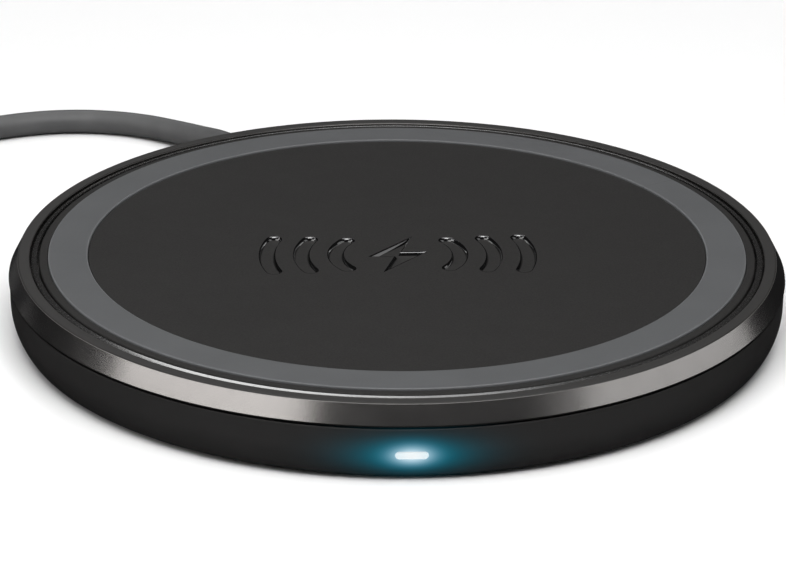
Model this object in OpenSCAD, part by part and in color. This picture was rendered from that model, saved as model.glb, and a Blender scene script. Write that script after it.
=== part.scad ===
// Round wireless charging pad with a captive cable.
// The origin is on the table under the middle of the pad, +Z is up,
// and the status light faces -Y.

/* [Overall] */
// Diameter over the widest edge of the bezel
pad_d = 100; // [90:1:130]
// Height from the table to the crown of the grip ring
pad_h = 10; // [9.8:0.1:14]

/* [Base] */
// How far the rubber feet hold the base off the table
foot_proud = 0.5; // [0.3:0.1:1]
// Thickness of the base's floor
floor_t = 1.6; // [1.2:0.1:2]
// Thickness of the base's wall
wall_t = 2; // [1.6:0.1:2.4]
// Radius of the arc that the wall curves in with at the bottom
wall_arc_r = 6.6; // [5:0.1:9]
// Height of that arc above the base's underside
wall_arc_h = 4; // [3:0.1:4.5]
// Height of the shadow gap under the bezel
seam_h = 0.2; // [0.1:0.05:0.4]
// Depth of the shadow gap
seam_depth = 0.6; // [0.3:0.1:0.8]

/* [Bezel] */
// Height of the bezel, from the shadow gap to its land
bezel_h = 2.65; // [2:0.05:3]
// How far the bezel's face leans in over its height
bezel_lean = 1.3; // [0.8:0.05:2]
// Width of the flat land on top of the bezel
land_w = 1.45; // [1:0.05:2]
// How far the land lies below the crown of the grip ring
land_drop = 0.1; // [0:0.05:0.3]
// Width of the gloss bead between bezel and cover
bead_w = 0.7; // [0.5:0.05:1]
// Gap between the bead and its neighbours
bead_gap = 0.25; // [0.15:0.05:0.4]

/* [Cover] */
// Thickness of the cover
cover_t = 1.5; // [1.3:0.1:1.8]
// Width of the cover's band outside the grip ring
band_w = 1.1; // [0.8:0.1:2]
// Width of the grip ring
grip_w = 5.2; // [3:0.1:8]
// How far the grip ring stands above the cover
grip_proud = 0.25; // [0.1:0.05:0.5]
// Depth of the channel that the grip ring sits in
channel_depth = 0.75; // [0.5:0.05:0.8]
// Depth of the sunk charge sign
emblem_depth = 0.6; // [0.4:0.05:0.7]

/* [Charging coil] */
// Inner diameter of the spiral winding
coil_in_d = 20.5; // [16:0.5:26]
// Turns in the winding
coil_turns = 10; // [6:1:12]
// Thickness of the litz wire
litz_d = 1.05; // [0.8:0.05:1.1]
// Diameter of the ferrite disc
ferrite_d = 50; // [46:1:54]
// Thickness of the ferrite disc
ferrite_t = 1; // [0.8:0.1:1.2]
// Thickness of the adhesive disc under the ferrite
tape_t = 0.3; // [0.2:0.05:0.4]

/* [Electronics] */
// Thickness of the main board
board_t = 1; // [0.8:0.1:1.2]
// Width of the board's tab that carries the status light
tab_w = 14; // [10:1:18]
// Width of the light slot in the wall
slot_w = 3.9; // [3:0.1:6]
// Height of the light slot in the wall
slot_h = 1; // [0.8:0.1:1.2]

/* [Screws and feet] */
// Diameter of the case screws
case_screw_d = 2; // [1.8:0.1:2.4]
// Diameter of the board screws
board_screw_d = 1.7; // [1.4:0.1:2]
// Diameter of the rubber feet
foot_d = 9; // [7:0.5:11]

/* [Cable and plug] */
// Diameter of the cable
cable_d = 3.5; // [3:0.1:4]
// Length of the strain relief outside the wall
relief_len = 8; // [6:0.5:10]
// Diameter of the strain relief at the wall
relief_d = 5.2; // [4.6:0.1:6]
// Width of the plug's overmould
plug_w = 15.5; // [14:0.5:18]
// Thickness of the plug's overmould
plug_t = 8; // [7:0.5:9]
// Length of the plug's overmould
plug_len = 25; // [20:1:35]

/* [Hidden] */
$fn = 96;
eps = 0.02;

// ---- Levels, from the table up ----
base_z = foot_proud;
floor_z = base_z + floor_t;
disc_z = pad_h - grip_proud;
land_z = pad_h - land_drop;
bezel_z = land_z - bezel_h;
cover_z = disc_z - cover_t;
channel_z = disc_z - channel_depth;

// ---- Radii of the housing ----
pad_r = pad_d / 2;
wall_inset = 0.15;
wall_r = pad_r - wall_inset;
wall_in_r = wall_r - wall_t;
land_out_r = pad_r - bezel_lean;
land_in_r = land_out_r - land_w;
bead_out_r = land_in_r - bead_gap;
bead_in_r = bead_out_r - bead_w;
cover_r = bead_in_r - bead_gap;
grip_gap = 0.05;
grip_out_r = cover_r - band_w;
grip_in_r = grip_out_r - grip_w;
seat_w = 1.2;
seat_r = cover_r - seat_w;

// ---- Charge sign: a bolt with three arcs on each side, as [radius, half angle] ----
sign_y = -2.6;
sign_bolt = [[2, 6], [-3.8, -0.8], [-0.5, -0.8], [-2, -6], [3.8, 0.8], [0.5, 0.8]];
sign_arcs = [[8, 36], [12.4, 25], [16.8, 19]];
sign_arc_w = 2.1;
sign_bolt_half = 1.2;
sign_wall = 0.3;
sign_floor = 0.15;

// ---- Small edges and the bezel's locating rib ----
edge_c = 0.2;
lip_c = 0.12;
bezel_edge = 0.2;
rib_gap = 0.1;
rib_w = 0.8;
rib_h = 0.9;

// ---- Stack under the cover: coil, ferrite, adhesive, board ----
stack_gap = 0.25;
wind_z = cover_z - stack_gap - litz_d;
ferrite_z = wind_z - ferrite_t;
tape_z = ferrite_z - tape_t;
board_top = tape_z;
board_z = board_top - board_t;
litz_pitch = litz_d + 0.1;
coil_in_r = coil_in_d / 2;
coil_start = 205;
coil_steps = 20;
wind_mid_z = wind_z + litz_d / 2;
first_r = coil_in_r + litz_d / 2;
last_r = first_r + coil_turns * litz_pitch;
lead_d = 0.9;
lead_side = 2.6;
lead_slot_w = 1.8;
ferrite_r = ferrite_d / 2;
tape_r = ferrite_r - 0.5;

// ---- Case screws: four, from under the feet into the cover's bosses ----
case_angles = [45, 135, 225, 315];
case_screw_r = case_screw_d / 2;
boss_wall = 1.5;
boss_r = case_screw_r + boss_wall;
boss_gap = 0.4;
case_at = seat_r - boss_r - boss_gap;
base_boss_r = boss_r + 0.5;
boss_split = 2.2;
base_boss_z = floor_z + boss_split;
foot_r = foot_d / 2;
foot_sink = 0.4;
head_r = 1.9;
head_h = 1.1;
head_gap = 0.1;
case_seat_z = base_z + foot_sink + head_gap + head_h;
bore_roof = 0.9;
case_bore_z = cover_z - bore_roof;
case_tip_z = case_bore_z - 0.4;

// ---- Board and its screws ----
board_r = case_at - base_boss_r - 0.5;
board_screw_angles = [30, 160, 270];
board_screw_at = board_r - 4;
board_screw_r = board_screw_d / 2;
post_r = board_screw_r + 1.4;
board_head_r = 1.6;
board_head_h = 0.9;
board_tip_z = floor_z + 0.6;

// ---- Status light at the front ----
tab_end = wall_in_r - 3;
led_gap = 0.1;
led_l = 1.4;
led_w = 1.6;
led_h = 1.3;
slot_z = board_z - led_h + led_h / 2 - 0.3;
pipe_back = tab_end - 0.4;
pipe_sink = 0.1;
pipe_flange = 1;

// ---- Cable exit at the back left, along the first stretch of the route ----
exit_angle = atan2(5, -2);
exit_z = 3.75;
cable_r = cable_d / 2;
collar_r = relief_d / 2;
collar_gap = 0.05;
relief_flange_t = 1.4;
relief_flange_w = 8;
relief_flange_h = 4;
relief_face = sqrt(pow(wall_in_r, 2) - pow(relief_flange_w / 2, 2)) - eps;
relief_back = relief_face - relief_flange_t;
cradle_l = 5;
jacket_in = 1.85;
jacket_end = relief_back - jacket_in;
relief_tip_r = cable_r + 0.45;
relief_grooves = 3;

// ---- Route of the cable: millimetres, its centre line, points chosen by hand ----
// From inside the base, out through the strain relief and down to the coil
RUN = [
  [-16.5, 41.25, 3.75], [-19, 47.5, 3.75], [-21.5, 53.75, 3.75], [-23.5, 57.5, 3.3],
  [-26.5, 61.5, 2.6], [-30.5, 65.5, 2.1], [-35.5, 69, 1.85], [-41, 71, 1.75],
  [-47, 71.5, 1.75], [-53, 70.5, 1.75], [-59, 68.2, 1.75], [-65.5, 65.6, 1.75],
  [-72, 63, 1.75], [-79.5, 60, 1.75], [-87, 57, 1.75], [-92, 55, 1.75], [-97, 53, 1.75]];
// From the top of the coil to the plug's boot
TAIL = [[-113, 15, 5], [-111, 10, 4.5], [-109, 5, 4], [-107, 0, 4]];
// Middle of the coil
COIL_AT = [-86, 26];

// ---- Coil of the cable's spare length ----
run_end = RUN[len(RUN) - 1];
tail_end = TAIL[len(TAIL) - 1];
bundle_out_r = norm([run_end[0], run_end[1]] - COIL_AT) - cable_r;
bundle_mid_r = 5.5 * cable_d;
bundle_in_r = 2 * bundle_mid_r - bundle_out_r;
bundle_h = 2 * cable_d + 0.8;
bundle_edge = 1.5;
tie_t = 0.7;
tie_span = 22;
tie_gap = 0.05;
tie_side = 0.2;
tie_angle = -40;

// ---- Plug: its axis runs on from the tail, shell and tongue at the standard size ----
plug_angle = atan2(-5, 2);
boot_len = 8;
boot_d = cable_d + 1.6;
boot_end_d = cable_d + 0.7;
plug_edge = 2;
shell_w = 12;
shell_h = 4.5;
shell_t = 0.3;
shell_edge = 0.6;
shell_inner_edge = shell_edge - shell_t;
shell_out = 13;
shell_in = 4;
window_w = 2.5;
window_l = 2.2;
window_at = 6.2;
window_pitch = 5;
tongue_t = 1.9;
tongue_block = 3;
contact_w = 1;
contact_t = 0.2;
contact_l = 8.5;
contact_x = [-3.5, -1, 1, 3.5];

// ---- Shared shapes ----

// A point at a radius and an angle on the plan
function polar(r, a) = [r * cos(a), r * sin(a)];

// A vector made one unit long
function unit(v) = v / norm(v);

// The direction of a line of points at its i-th point
function heading(p, i) = unit(p[min(i + 1, len(p) - 1)] - p[max(i - 1, 0)]);

// One ring of points round a line, level across and square to the line
function ring_at(c, t, r, sides) =
  let (side = unit(cross(t, [0, 0, 1])), up = cross(side, t))
  [for (k = [0:sides - 1]) c + r * (cos(360 * k / sides) * side + sin(360 * k / sides) * up)];

// A solid swept along a line of points
module tube(p, d, sides = 8) {
  n = len(p);
  rings = [for (i = [0:n - 1]) each ring_at(p[i], heading(p, i), d / 2, sides)];
  walls = [for (i = [0:n - 2], k = [0:sides - 1])
    [i * sides + k, i * sides + (k + 1) % sides,
     (i + 1) * sides + (k + 1) % sides, (i + 1) * sides + k]];
  first = [for (k = [sides - 1:-1:0]) k];
  last = [for (k = [0:sides - 1]) (n - 1) * sides + k];
  polyhedron(points = rings, faces = concat([first], walls, [last]), convexity = 10);
}

// A flat ring between two radii and two levels
module band(r_in, r_out, z0, z1) {
  translate([0, 0, z0])
    difference() {
      cylinder(r = r_out, h = z1 - z0);
      translate([0, 0, -eps]) cylinder(r = r_in, h = z1 - z0 + 2 * eps);
    }
}

// Puts its children at a radius and each of a list of angles
module around(angles, at) {
  for (a = angles)
    rotate([0, 0, a]) translate([at, 0, 0]) children();
}

// A disc between two levels
module plate(r, z0, z1) {
  translate([0, 0, z0]) cylinder(r = r, h = z1 - z0);
}

// A box that is centred on x and y and stands between two levels
module block(size_x, size_y, z0, z1) {
  translate([-size_x / 2, -size_y / 2, z0]) cube([size_x, size_y, z1 - z0]);
}

// A plan rectangle with round corners
module round_rect(w, h, r) {
  square([w - 2 * r, h], center = true);
  square([w, h - 2 * r], center = true);
  for (x = [-1, 1], y = [-1, 1])
    translate([x * (w / 2 - r), y * (h / 2 - r)]) circle(r = r);
}

// A screw with a cross recess, its head's underside at seat_z, pointing up or down
module screw(r, r_head, h_head, seat_z, tip_z) {
  way = tip_z > seat_z ? 1 : -1;
  recess_w = 0.35 * r_head;
  recess_l = 1.2 * r_head;
  recess_d = 0.6 * h_head;
  face_z = seat_z - way * h_head;
  difference() {
    plate(r_head, min(seat_z, face_z), max(seat_z, face_z));
    for (turn = [0, 90])
      rotate([0, 0, turn])
        block(recess_l, recess_w, face_z - recess_d, face_z + recess_d);
  }
  plate(r, min(seat_z, tip_z), max(seat_z, tip_z));
}

// ---- Housing ----

// Outline of the base's section, from the middle of its underside
function base_section() =
  let (steps = 6,
       low = asin(wall_arc_h / wall_arc_r),
       mid = [wall_r - wall_arc_r, base_z + wall_arc_h])
  concat(
    [[0, base_z]],
    [for (i = [0:steps]) mid + polar(wall_arc_r, -low * (1 - i / steps))],
    [[wall_r, bezel_z - seam_h], [wall_r - seam_depth, bezel_z - seam_h],
     [wall_r - seam_depth, bezel_z], [wall_in_r, bezel_z],
     [wall_in_r, floor_z], [0, floor_z]]);

// The slot that the light pipe fills, as a solid that runs out through the wall
module slot_shape(grow, from_r, to_r) {
  w = slot_w + 2 * grow;
  h = slot_h + 2 * grow;
  translate([0, -from_r, slot_z])
    rotate([90, 0, 0])
      linear_extrude(height = to_r - from_r) {
        square([w - h, h], center = true);
        for (x = [-1, 1]) translate([x * (w - h) / 2, 0]) circle(d = h);
      }
}

module base_shell() {
  color("#26262a")
    difference() {
      union() {
        rotate_extrude() polygon(base_section());
        around(case_angles, case_at) plate(base_boss_r, base_z + foot_sink, base_boss_z);
        around(board_screw_angles, board_screw_at) plate(post_r, base_z + foot_sink, board_z);
      }
      around(case_angles, case_at) {
        plate(foot_r + collar_gap, base_z - 1, base_z + foot_sink);
        plate(head_r + head_gap, base_z, case_seat_z);
        plate(case_screw_r + head_gap, base_z, base_boss_z + 1);
      }
      around(board_screw_angles, board_screw_at)
        plate(board_screw_r + eps, board_tip_z - 0.3, board_z + 1);
      at_exit()
        translate([wall_in_r - cradle_l, 0, 0])
          rotate([0, 90, 0]) cylinder(r = collar_r + collar_gap, h = cradle_l + wall_t + 1);
      slot_shape(collar_gap, wall_in_r - 1, wall_r + 1);
    }
}

module bezel_ring() {
  rib_out_r = wall_in_r - rib_gap;
  rib_in_r = rib_out_r - rib_w;
  color("#5c5a5c")
    rotate_extrude()
      polygon([[seat_r, bezel_z], [rib_in_r, bezel_z], [rib_in_r, bezel_z - rib_h],
        [rib_out_r, bezel_z - rib_h], [rib_out_r, bezel_z], [pad_r - bezel_edge, bezel_z],
        [pad_r, bezel_z + bezel_edge], [land_out_r, land_z], [land_in_r + lip_c, land_z],
        [land_in_r, land_z - lip_c], [land_in_r, cover_z], [seat_r, cover_z]]);
}

module trim_ring() {
  bead_r = bead_w / 2;
  steps = 8;
  mid = [bead_in_r + bead_r, disc_z - bead_r];
  color("#141417")
    rotate_extrude()
      polygon(concat([[bead_in_r, cover_z], [bead_out_r, cover_z]],
        [for (i = [0:steps]) mid + polar(bead_r, 180 * i / steps)]));
}

module top_cover() {
  color("#2b2829")
    difference() {
      union() {
        rotate_extrude()
          polygon([[0, cover_z], [cover_r, cover_z], [cover_r, disc_z - edge_c],
            [cover_r - edge_c, disc_z], [grip_out_r, disc_z], [grip_out_r, channel_z],
            [grip_in_r, channel_z], [grip_in_r, disc_z], [0, disc_z]]);
        around(case_angles, case_at) plate(boss_r, base_boss_z + collar_gap, cover_z + eps);
      }
      around(case_angles, case_at) plate(case_screw_r + eps, base_boss_z - 1, case_bore_z);
      sign_block(-eps, disc_z - emblem_depth, disc_z + 1);
    }
}

module grip_ring() {
  out_r = grip_out_r - grip_gap;
  in_r = grip_in_r + grip_gap;
  color("#5b5c5e")
    rotate_extrude()
      polygon([[in_r, channel_z], [out_r, channel_z], [out_r, pad_h - edge_c],
        [out_r - edge_c, pad_h], [in_r + edge_c, pad_h], [in_r, pad_h - edge_c]]);
}

// Polished tray in the shape of the charge sign, set into the cover
module emblem() {
  tray_z = disc_z - emblem_depth;
  color("#0f0f12")
    difference() {
      sign_block(0, tray_z, disc_z);
      sign_block(sign_wall, tray_z + sign_floor, disc_z + 1);
    }
}

// Outline of a flat arc with round ends, about the x axis
function arc_outline(r, w, half) =
  let (steps = 12, cap_steps = 6)
  concat(
    [for (i = [0:steps]) polar(r + w / 2, half * (2 * i / steps - 1))],
    [for (i = [1:cap_steps - 1]) polar(r, half) + polar(w / 2, half + 180 * i / cap_steps)],
    [for (i = [0:steps]) polar(r - w / 2, half * (1 - 2 * i / steps))],
    [for (i = [1:cap_steps - 1]) polar(r, -half) + polar(w / 2, 180 * (1 + i / cap_steps) - half)]);

// The outline of the sign, drawn in by an inset, as a solid between two levels
module sign_block(inset, z0, z1) {
  translate([0, sign_y, z0])
    linear_extrude(height = z1 - z0) {
      scale(1 - inset / sign_bolt_half) polygon(sign_bolt);
      for (side = [0, 180], arc = sign_arcs)
        rotate([0, 0, side]) polygon(arc_outline(arc[0], sign_arc_w - 2 * inset, arc[1]));
    }
}

module rubber_feet() {
  color("#1a1a1a")
    around(case_angles, case_at) plate(foot_r, 0, base_z + foot_sink);
}

module case_screws() {
  color("#9a9a9c")
    around(case_angles, case_at)
      screw(case_screw_r, head_r, head_h, case_seat_z, case_tip_z);
}

// ---- Charging coil and its stack ----

module charging_coil() {
  count = coil_turns * coil_steps;
  line = [for (i = [0:count])
    let (p = polar(first_r + litz_pitch * i / coil_steps, coil_start + 360 * i / coil_steps))
    [p[0], p[1], wind_mid_z]];
  color("#b8703a") tube(line, litz_d, 6);
}

module coil_leads() {
  slot_mid_z = wind_z - lead_d / 2 - 0.05;
  pad_z = board_top + lead_d / 2;
  inner = [[first_r, 0, wind_mid_z], [first_r - 0.5, -1.2, wind_mid_z],
    [first_r - 0.8, -2.2, wind_mid_z - 0.2], [first_r - 0.7, -lead_side, wind_mid_z - 0.7],
    [first_r, -lead_side, slot_mid_z], [first_r + 4, -lead_side, slot_mid_z],
    [ferrite_r - 2, -lead_side, slot_mid_z], [ferrite_r + 2, -lead_side, pad_z],
    [ferrite_r + 5, -lead_side, pad_z]];
  drop = max(ferrite_r + 0.8, last_r + 2.8);
  outer = [[last_r, 0, wind_mid_z], [last_r + 0.5, 1.8, wind_mid_z],
    [last_r + 1.8, 3.2, wind_mid_z], [drop, 4, wind_mid_z - 0.3],
    [drop + 1.4, 4.4, pad_z + 0.4], [drop + 2.7, 4.6, pad_z], [drop + 4.7, 4.8, pad_z]];
  color("#c98a4a")
    rotate([0, 0, coil_start]) {
      tube(inner, lead_d, 6);
      tube(outer, lead_d, 6);
    }
}

module ferrite_disc() {
  color("#3b3b3f")
    difference() {
      plate(ferrite_r, ferrite_z, wind_z);
      rotate([0, 0, coil_start])
        translate([coil_in_r - 1, -lead_side - lead_slot_w / 2, ferrite_z - 1])
          cube([ferrite_r, lead_slot_w, ferrite_t + 2]);
    }
}

module adhesive_disc() {
  color("#e8e4d8") plate(tape_r, tape_z, ferrite_z);
}

module thermistor() {
  sensor_r = 1.3;
  sensor_h = 0.8;
  lead_r = 0.25;
  lead_len = 5;
  lead_apart = 0.6;
  lead_in = 0.4;
  color("#c9b27a") {
    plate(sensor_r, wind_z, wind_z + sensor_h);
    for (y = [-lead_apart, lead_apart])
      translate([sensor_r - lead_in, y, wind_z + sensor_h / 2])
        rotate([0, 90, 0]) cylinder(r = lead_r, h = lead_len);
  }
}

// ---- Board and what is on it ----

module main_board() {
  color("#1f6b3a")
    difference() {
      union() {
        plate(board_r, board_z, board_top);
        translate([-tab_w / 2, -tab_end, board_z]) cube([tab_w, tab_end, board_t]);
      }
      around(board_screw_angles, board_screw_at)
        plate(board_screw_r + head_gap, board_z - 1, board_top + 1);
    }
}

module board_screws() {
  color("#b0b0b4")
    around(board_screw_angles, board_screw_at)
      screw(board_screw_r, board_head_r, board_head_h, board_top, board_tip_z);
}

// A part that hangs under the board
module under_board(at, size, turn = 0) {
  translate([at[0], at[1], 0])
    rotate([0, 0, turn]) block(size[0], size[1], board_z - size[2], board_z);
}

module controller_chip() {
  at = [0, 9];
  body = 7;
  body_t = 0.9;
  lead_count = 12;
  lead_pitch = 0.5;
  lead_size = [0.6, 0.22];
  lead_t = 0.15;
  color("#202022") under_board(at, [body, body, body_t]);
  color("#c0c0c4")
    for (side = [0:3], i = [0:lead_count - 1])
      translate(at)
        rotate([0, 0, 90 * side])
          translate([body / 2 + lead_size[0] / 2, (i - (lead_count - 1) / 2) * lead_pitch, 0])
            block(lead_size[0] + eps, lead_size[1], board_z - lead_t, board_z);
}

module bridge_chips() {
  row_y = -2;
  spots = [-13, 13];
  body = [5, 4, 1.4];
  foot = [0.9, 0.4];
  foot_t = 0.2;
  foot_count = 4;
  foot_pitch = 1.27;
  color("#242426")
    for (x = spots) under_board([x, row_y], body);
  color("#c0c0c4")
    for (x = spots, y = [-1, 1], i = [0:foot_count - 1])
      translate([x + (i - (foot_count - 1) / 2) * foot_pitch,
          row_y + y * (body[1] + foot[0]) / 2, 0])
        block(foot[1], foot[0] + eps, board_z - foot_t, board_z);
}

module resonant_capacitors() {
  size = [5.7, 5, 2];
  first = [-10.5, -17];
  pitch = 7;
  color("#b79a62")
    for (i = [0:3]) under_board(first + [pitch * i, 0], size);
}

module bulk_capacitors() {
  size = [3.2, 2.5, 1.8];
  first = [-20, 2];
  pitch = 4;
  color("#a98a5e")
    for (i = [0:3]) under_board(first + [0, pitch * i], size);
}

module chip_capacitors() {
  size = [0.8, 1.6, 0.8];
  long_row = [-8, 17];
  short_row = [-8, -9];
  pitch = 2.3;
  color("#b59a70") {
    for (i = [0:7]) under_board(long_row + [pitch * i, 0], size);
    for (i = [0:5]) under_board(short_row + [pitch * i, 0], size);
  }
}

module chip_resistors() {
  size = [0.8, 1.6, 0.45];
  row = [-11, 21];
  row_pitch = 2.3;
  column_x = 8.5;
  column_y = 4;
  column_pitch = 2;
  color("#1c1c1e") {
    for (i = [0:9]) under_board(row + [row_pitch * i, 0], size);
    for (side = [-1, 1], i = [0:5])
      under_board([side * column_x, column_y + column_pitch * i], size, 90);
  }
}

module power_inductor() {
  at = [18, 12];
  side = 5;
  body_t = 2;
  corner_at = 3.9;
  corner_cut = [1.6, 3];
  color("#57575b")
    translate(at)
      difference() {
        block(side, side, board_z - body_t, board_z);
        around([45, 135, 225, 315], corner_at)
          block(corner_cut[0], corner_cut[1], board_z - body_t - 1, board_z + 1);
      }
}

module crystal() {
  at = [14, 18.5];
  size = [3.2, 2.5, 0.8];
  turn = 20;
  color("#c7c7cb") under_board(at, size, turn);
}

module led_chips() {
  led_apart = 0.85;
  led_y = -(pipe_back - led_gap - led_l / 2);
  color("#f2f2ea")
    for (x = [-led_apart, led_apart]) under_board([x, led_y], [led_w, led_l, led_h]);
}

module light_pipe() {
  flange_w = slot_w + 2 * pipe_flange;
  flange_rise = 0.8;
  flange_h = slot_h + flange_rise;
  flange_t = 0.9;
  flange_out = wall_in_r - 0.3;
  color("#dfe8ea") {
    slot_shape(0, pipe_back, wall_r - pipe_sink);
    translate([-flange_w / 2, -flange_out, slot_z - flange_h / 2])
      cube([flange_w, flange_t, flange_h]);
  }
}

// ---- Cable and what is on it ----

// Turns its children so that +x runs out along the cable's exit, at its height
module at_exit() {
  rotate([0, 0, exit_angle]) translate([0, 0, exit_z]) children();
}

module strain_relief() {
  groove_w = 0.7;
  groove_d = 0.35;
  pitch = relief_len / (relief_grooves + 1);
  lean = (collar_r - relief_tip_r) / relief_len;
  color("#1d1d20")
    at_exit()
      difference() {
        union() {
          translate([relief_back, -relief_flange_w / 2, floor_z + eps - exit_z])
            cube([relief_flange_t, relief_flange_w, relief_flange_h]);
          translate([relief_back, 0, 0])
            rotate([0, 90, 0]) cylinder(r = collar_r, h = wall_r - relief_back + eps);
          translate([wall_r, 0, 0])
            rotate([0, 90, 0]) cylinder(r1 = collar_r, r2 = relief_tip_r, h = relief_len);
        }
        translate([relief_back - 1, 0, 0])
          rotate([0, 90, 0])
            cylinder(r = cable_r + eps, h = wall_r + relief_len - relief_back + 2);
        for (i = [1:relief_grooves])
          translate([wall_r + i * pitch, 0, 0])
            rotate([0, 90, 0])
              difference() {
                cylinder(r = collar_r + 1, h = groove_w);
                translate([0, 0, -eps])
                  cylinder(r = collar_r - lean * i * pitch - groove_d, h = groove_w + 2 * eps);
              }
      }
}

// One conductor, from the cut end of the cable's jacket to its pad under the board.
// side is its place in the row of pads: the outer two leave the jacket above the inner two
module conductor(side, tint) {
  wire_d = 0.8;
  pad_pitch = 1.9;
  apart = 0.5;
  straight_l = 1;
  climb_l = 3.5;
  y0 = sign(side) * apart;
  z0 = abs(side) > 1 ? apart : -apart;
  y1 = side * pad_pitch;
  z1 = board_z - wire_d / 2 - exit_z;
  pad = board_r - 3.5;
  color(tint)
    at_exit()
      tube([[jacket_end, y0, z0], [jacket_end - straight_l, y0, z0],
        [jacket_end - straight_l - climb_l, (y0 + y1) / 2, (z0 + z1) / 2],
        [board_r - 0.5, y1, z1], [pad + 1, y1, z1], [pad, y1, z1]], wire_d, 6);
}

module wire_red() { conductor(1.5, "#b3261e"); }
module wire_black() { conductor(-1.5, "#111111"); }
module wire_white() { conductor(0.5, "#e6e6e6"); }
module wire_green() { conductor(-0.5, "#2e7d32"); }

module cable_run() {
  color("#2a2a2c") tube(RUN, cable_d);
}

module cable_tail() {
  color("#2a2a2c") tube(TAIL, cable_d);
}

// Section of the coil's bundle, with round edges
module bundle_section() {
  translate([bundle_mid_r, bundle_h / 2])
    round_rect(bundle_out_r - bundle_in_r, bundle_h, bundle_edge);
}

// Puts its children at the coil and turns them to the tie
module at_tie(span) {
  translate([COIL_AT[0], COIL_AT[1], 0])
    rotate([0, 0, tie_angle - span / 2]) rotate_extrude(angle = span) children();
}

// Section of the room inside the tie, from its strap's upper face to the top of the bundle
module tie_room(gap) {
  room_w = bundle_out_r - bundle_in_r + 2 * tie_side;
  room_h = bundle_h - tie_t;
  translate([bundle_mid_r, tie_t + (room_h + gap) / 2])
    round_rect(room_w - 2 * gap, room_h - gap, bundle_edge - tie_side);
}

module cable_coil() {
  tie_clear = 2;
  cut_w = bundle_out_r - bundle_in_r + 2 * tie_clear;
  color("#2a2a2c")
    difference() {
      translate([COIL_AT[0], COIL_AT[1], 0]) rotate_extrude() bundle_section();
      at_tie(tie_span + 1)
        difference() {
          translate([bundle_mid_r, bundle_h / 2]) square([cut_w, bundle_h + 2], center = true);
          tie_room(tie_gap);
        }
    }
}

module cable_tie() {
  tie_w = bundle_out_r - bundle_in_r + 2 * (tie_side + tie_t);
  tie_h = bundle_h + tie_t;
  color("#151517")
    at_tie(tie_span)
      difference() {
        translate([bundle_mid_r, tie_h / 2]) round_rect(tie_w, tie_h, bundle_edge + tie_t);
        tie_room(0);
      }
}

// Puts its children at the plug's boot, with +x along the plug
module at_plug() {
  translate([tail_end[0], tail_end[1], plug_t / 2]) rotate([0, 0, plug_angle]) children();
}

// A solid with the plug's rounded section, along +x
module plug_prism(w, h, r, from, to) {
  translate([from, 0, 0])
    rotate([90, 0, 90]) linear_extrude(height = to - from) round_rect(w, h, r);
}

plug_back = boot_len;
plug_front = plug_back + plug_len;

module plug_overmould() {
  grip_count = 4;
  grip_from = plug_back + 5;
  grip_pitch = 3;
  grip_cut = 0.5;
  color("#1f1f22")
    at_plug()
      difference() {
        union() {
          plug_prism(plug_w, plug_t, plug_edge, plug_back, plug_front);
          rotate([0, 90, 0]) cylinder(d1 = boot_end_d, d2 = boot_d, h = boot_len + eps);
        }
        plug_prism(shell_w + 2 * eps, shell_h + 2 * eps, shell_edge,
          plug_front - shell_in, plug_front + 1);
        for (i = [0:grip_count - 1], side = [-1, 1])
          translate([grip_from + grip_pitch * i, side * plug_w / 2 - grip_cut, -plug_t])
            cube([grip_cut * 2, grip_cut * 2, 2 * plug_t]);
      }
}

module plug_shell() {
  color("#c9cacc")
    at_plug()
      difference() {
        plug_prism(shell_w, shell_h, shell_edge, plug_front - shell_in, plug_front + shell_out);
        plug_prism(shell_w - 2 * shell_t, shell_h - 2 * shell_t, shell_inner_edge,
          plug_front - shell_in - 1, plug_front + shell_out + 1);
        for (y = [-1, 1])
          translate([plug_front + window_at, y * window_pitch / 2 - window_w / 2, -shell_h])
            cube([window_l, window_w, 2 * shell_h]);
      }
}

module plug_tongue() {
  room_w = shell_w - 2 * shell_t - 2 * eps;
  room_h = shell_h - 2 * shell_t - 2 * eps;
  from = plug_front - shell_in;
  tip = plug_front + shell_out - 0.4;
  color("#e9e9e6")
    at_plug()
      difference() {
        plug_prism(room_w, room_h, shell_inner_edge, from, tip);
        translate([from + tongue_block, -room_w, -room_h / 2 + tongue_t])
          cube([shell_in + shell_out, 2 * room_w, room_h]);
      }
}

module plug_contacts() {
  top_z = -(shell_h - 2 * shell_t - 2 * eps) / 2 + tongue_t;
  contact_tip = plug_front + shell_out - 1.2;
  color("#d9b24a")
    at_plug()
      for (x = contact_x)
        translate([contact_tip - contact_l, x - contact_w / 2, top_z])
          cube([contact_l, contact_w, contact_t]);
}

base_shell();
bezel_ring();
trim_ring();
top_cover();
grip_ring();
emblem();
charging_coil();
coil_leads();
ferrite_disc();
adhesive_disc();
main_board();
controller_chip();
bridge_chips();
resonant_capacitors();
bulk_capacitors();
chip_capacitors();
chip_resistors();
power_inductor();
crystal();
thermistor();
led_chips();
light_pipe();
case_screws();
board_screws();
rubber_feet();
strain_relief();
wire_red();
wire_black();
wire_white();
wire_green();
cable_run();
cable_coil();
cable_tail();
cable_tie();
plug_overmould();
plug_shell();
plug_tongue();
plug_contacts();
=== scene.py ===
# %% [markdown]
# # A round wireless charging pad, finished in Blender
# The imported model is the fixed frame: it says how large the pad is and where each of its
# pieces sits. Each shell that shows is modelled again with the finer shape that a moulded
# or turned part has, and every piece gets a finish of its own. The scene is in metres, so
# sizes that a maker would give in millimetres are multiplied by MM.

# %% Load the frame
from math import asin, atan2, ceil, cos, degrees, hypot, pi, radians, sin, tau

import bmesh
import bpy
from mathutils import Matrix, Quaternion, Vector


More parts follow.
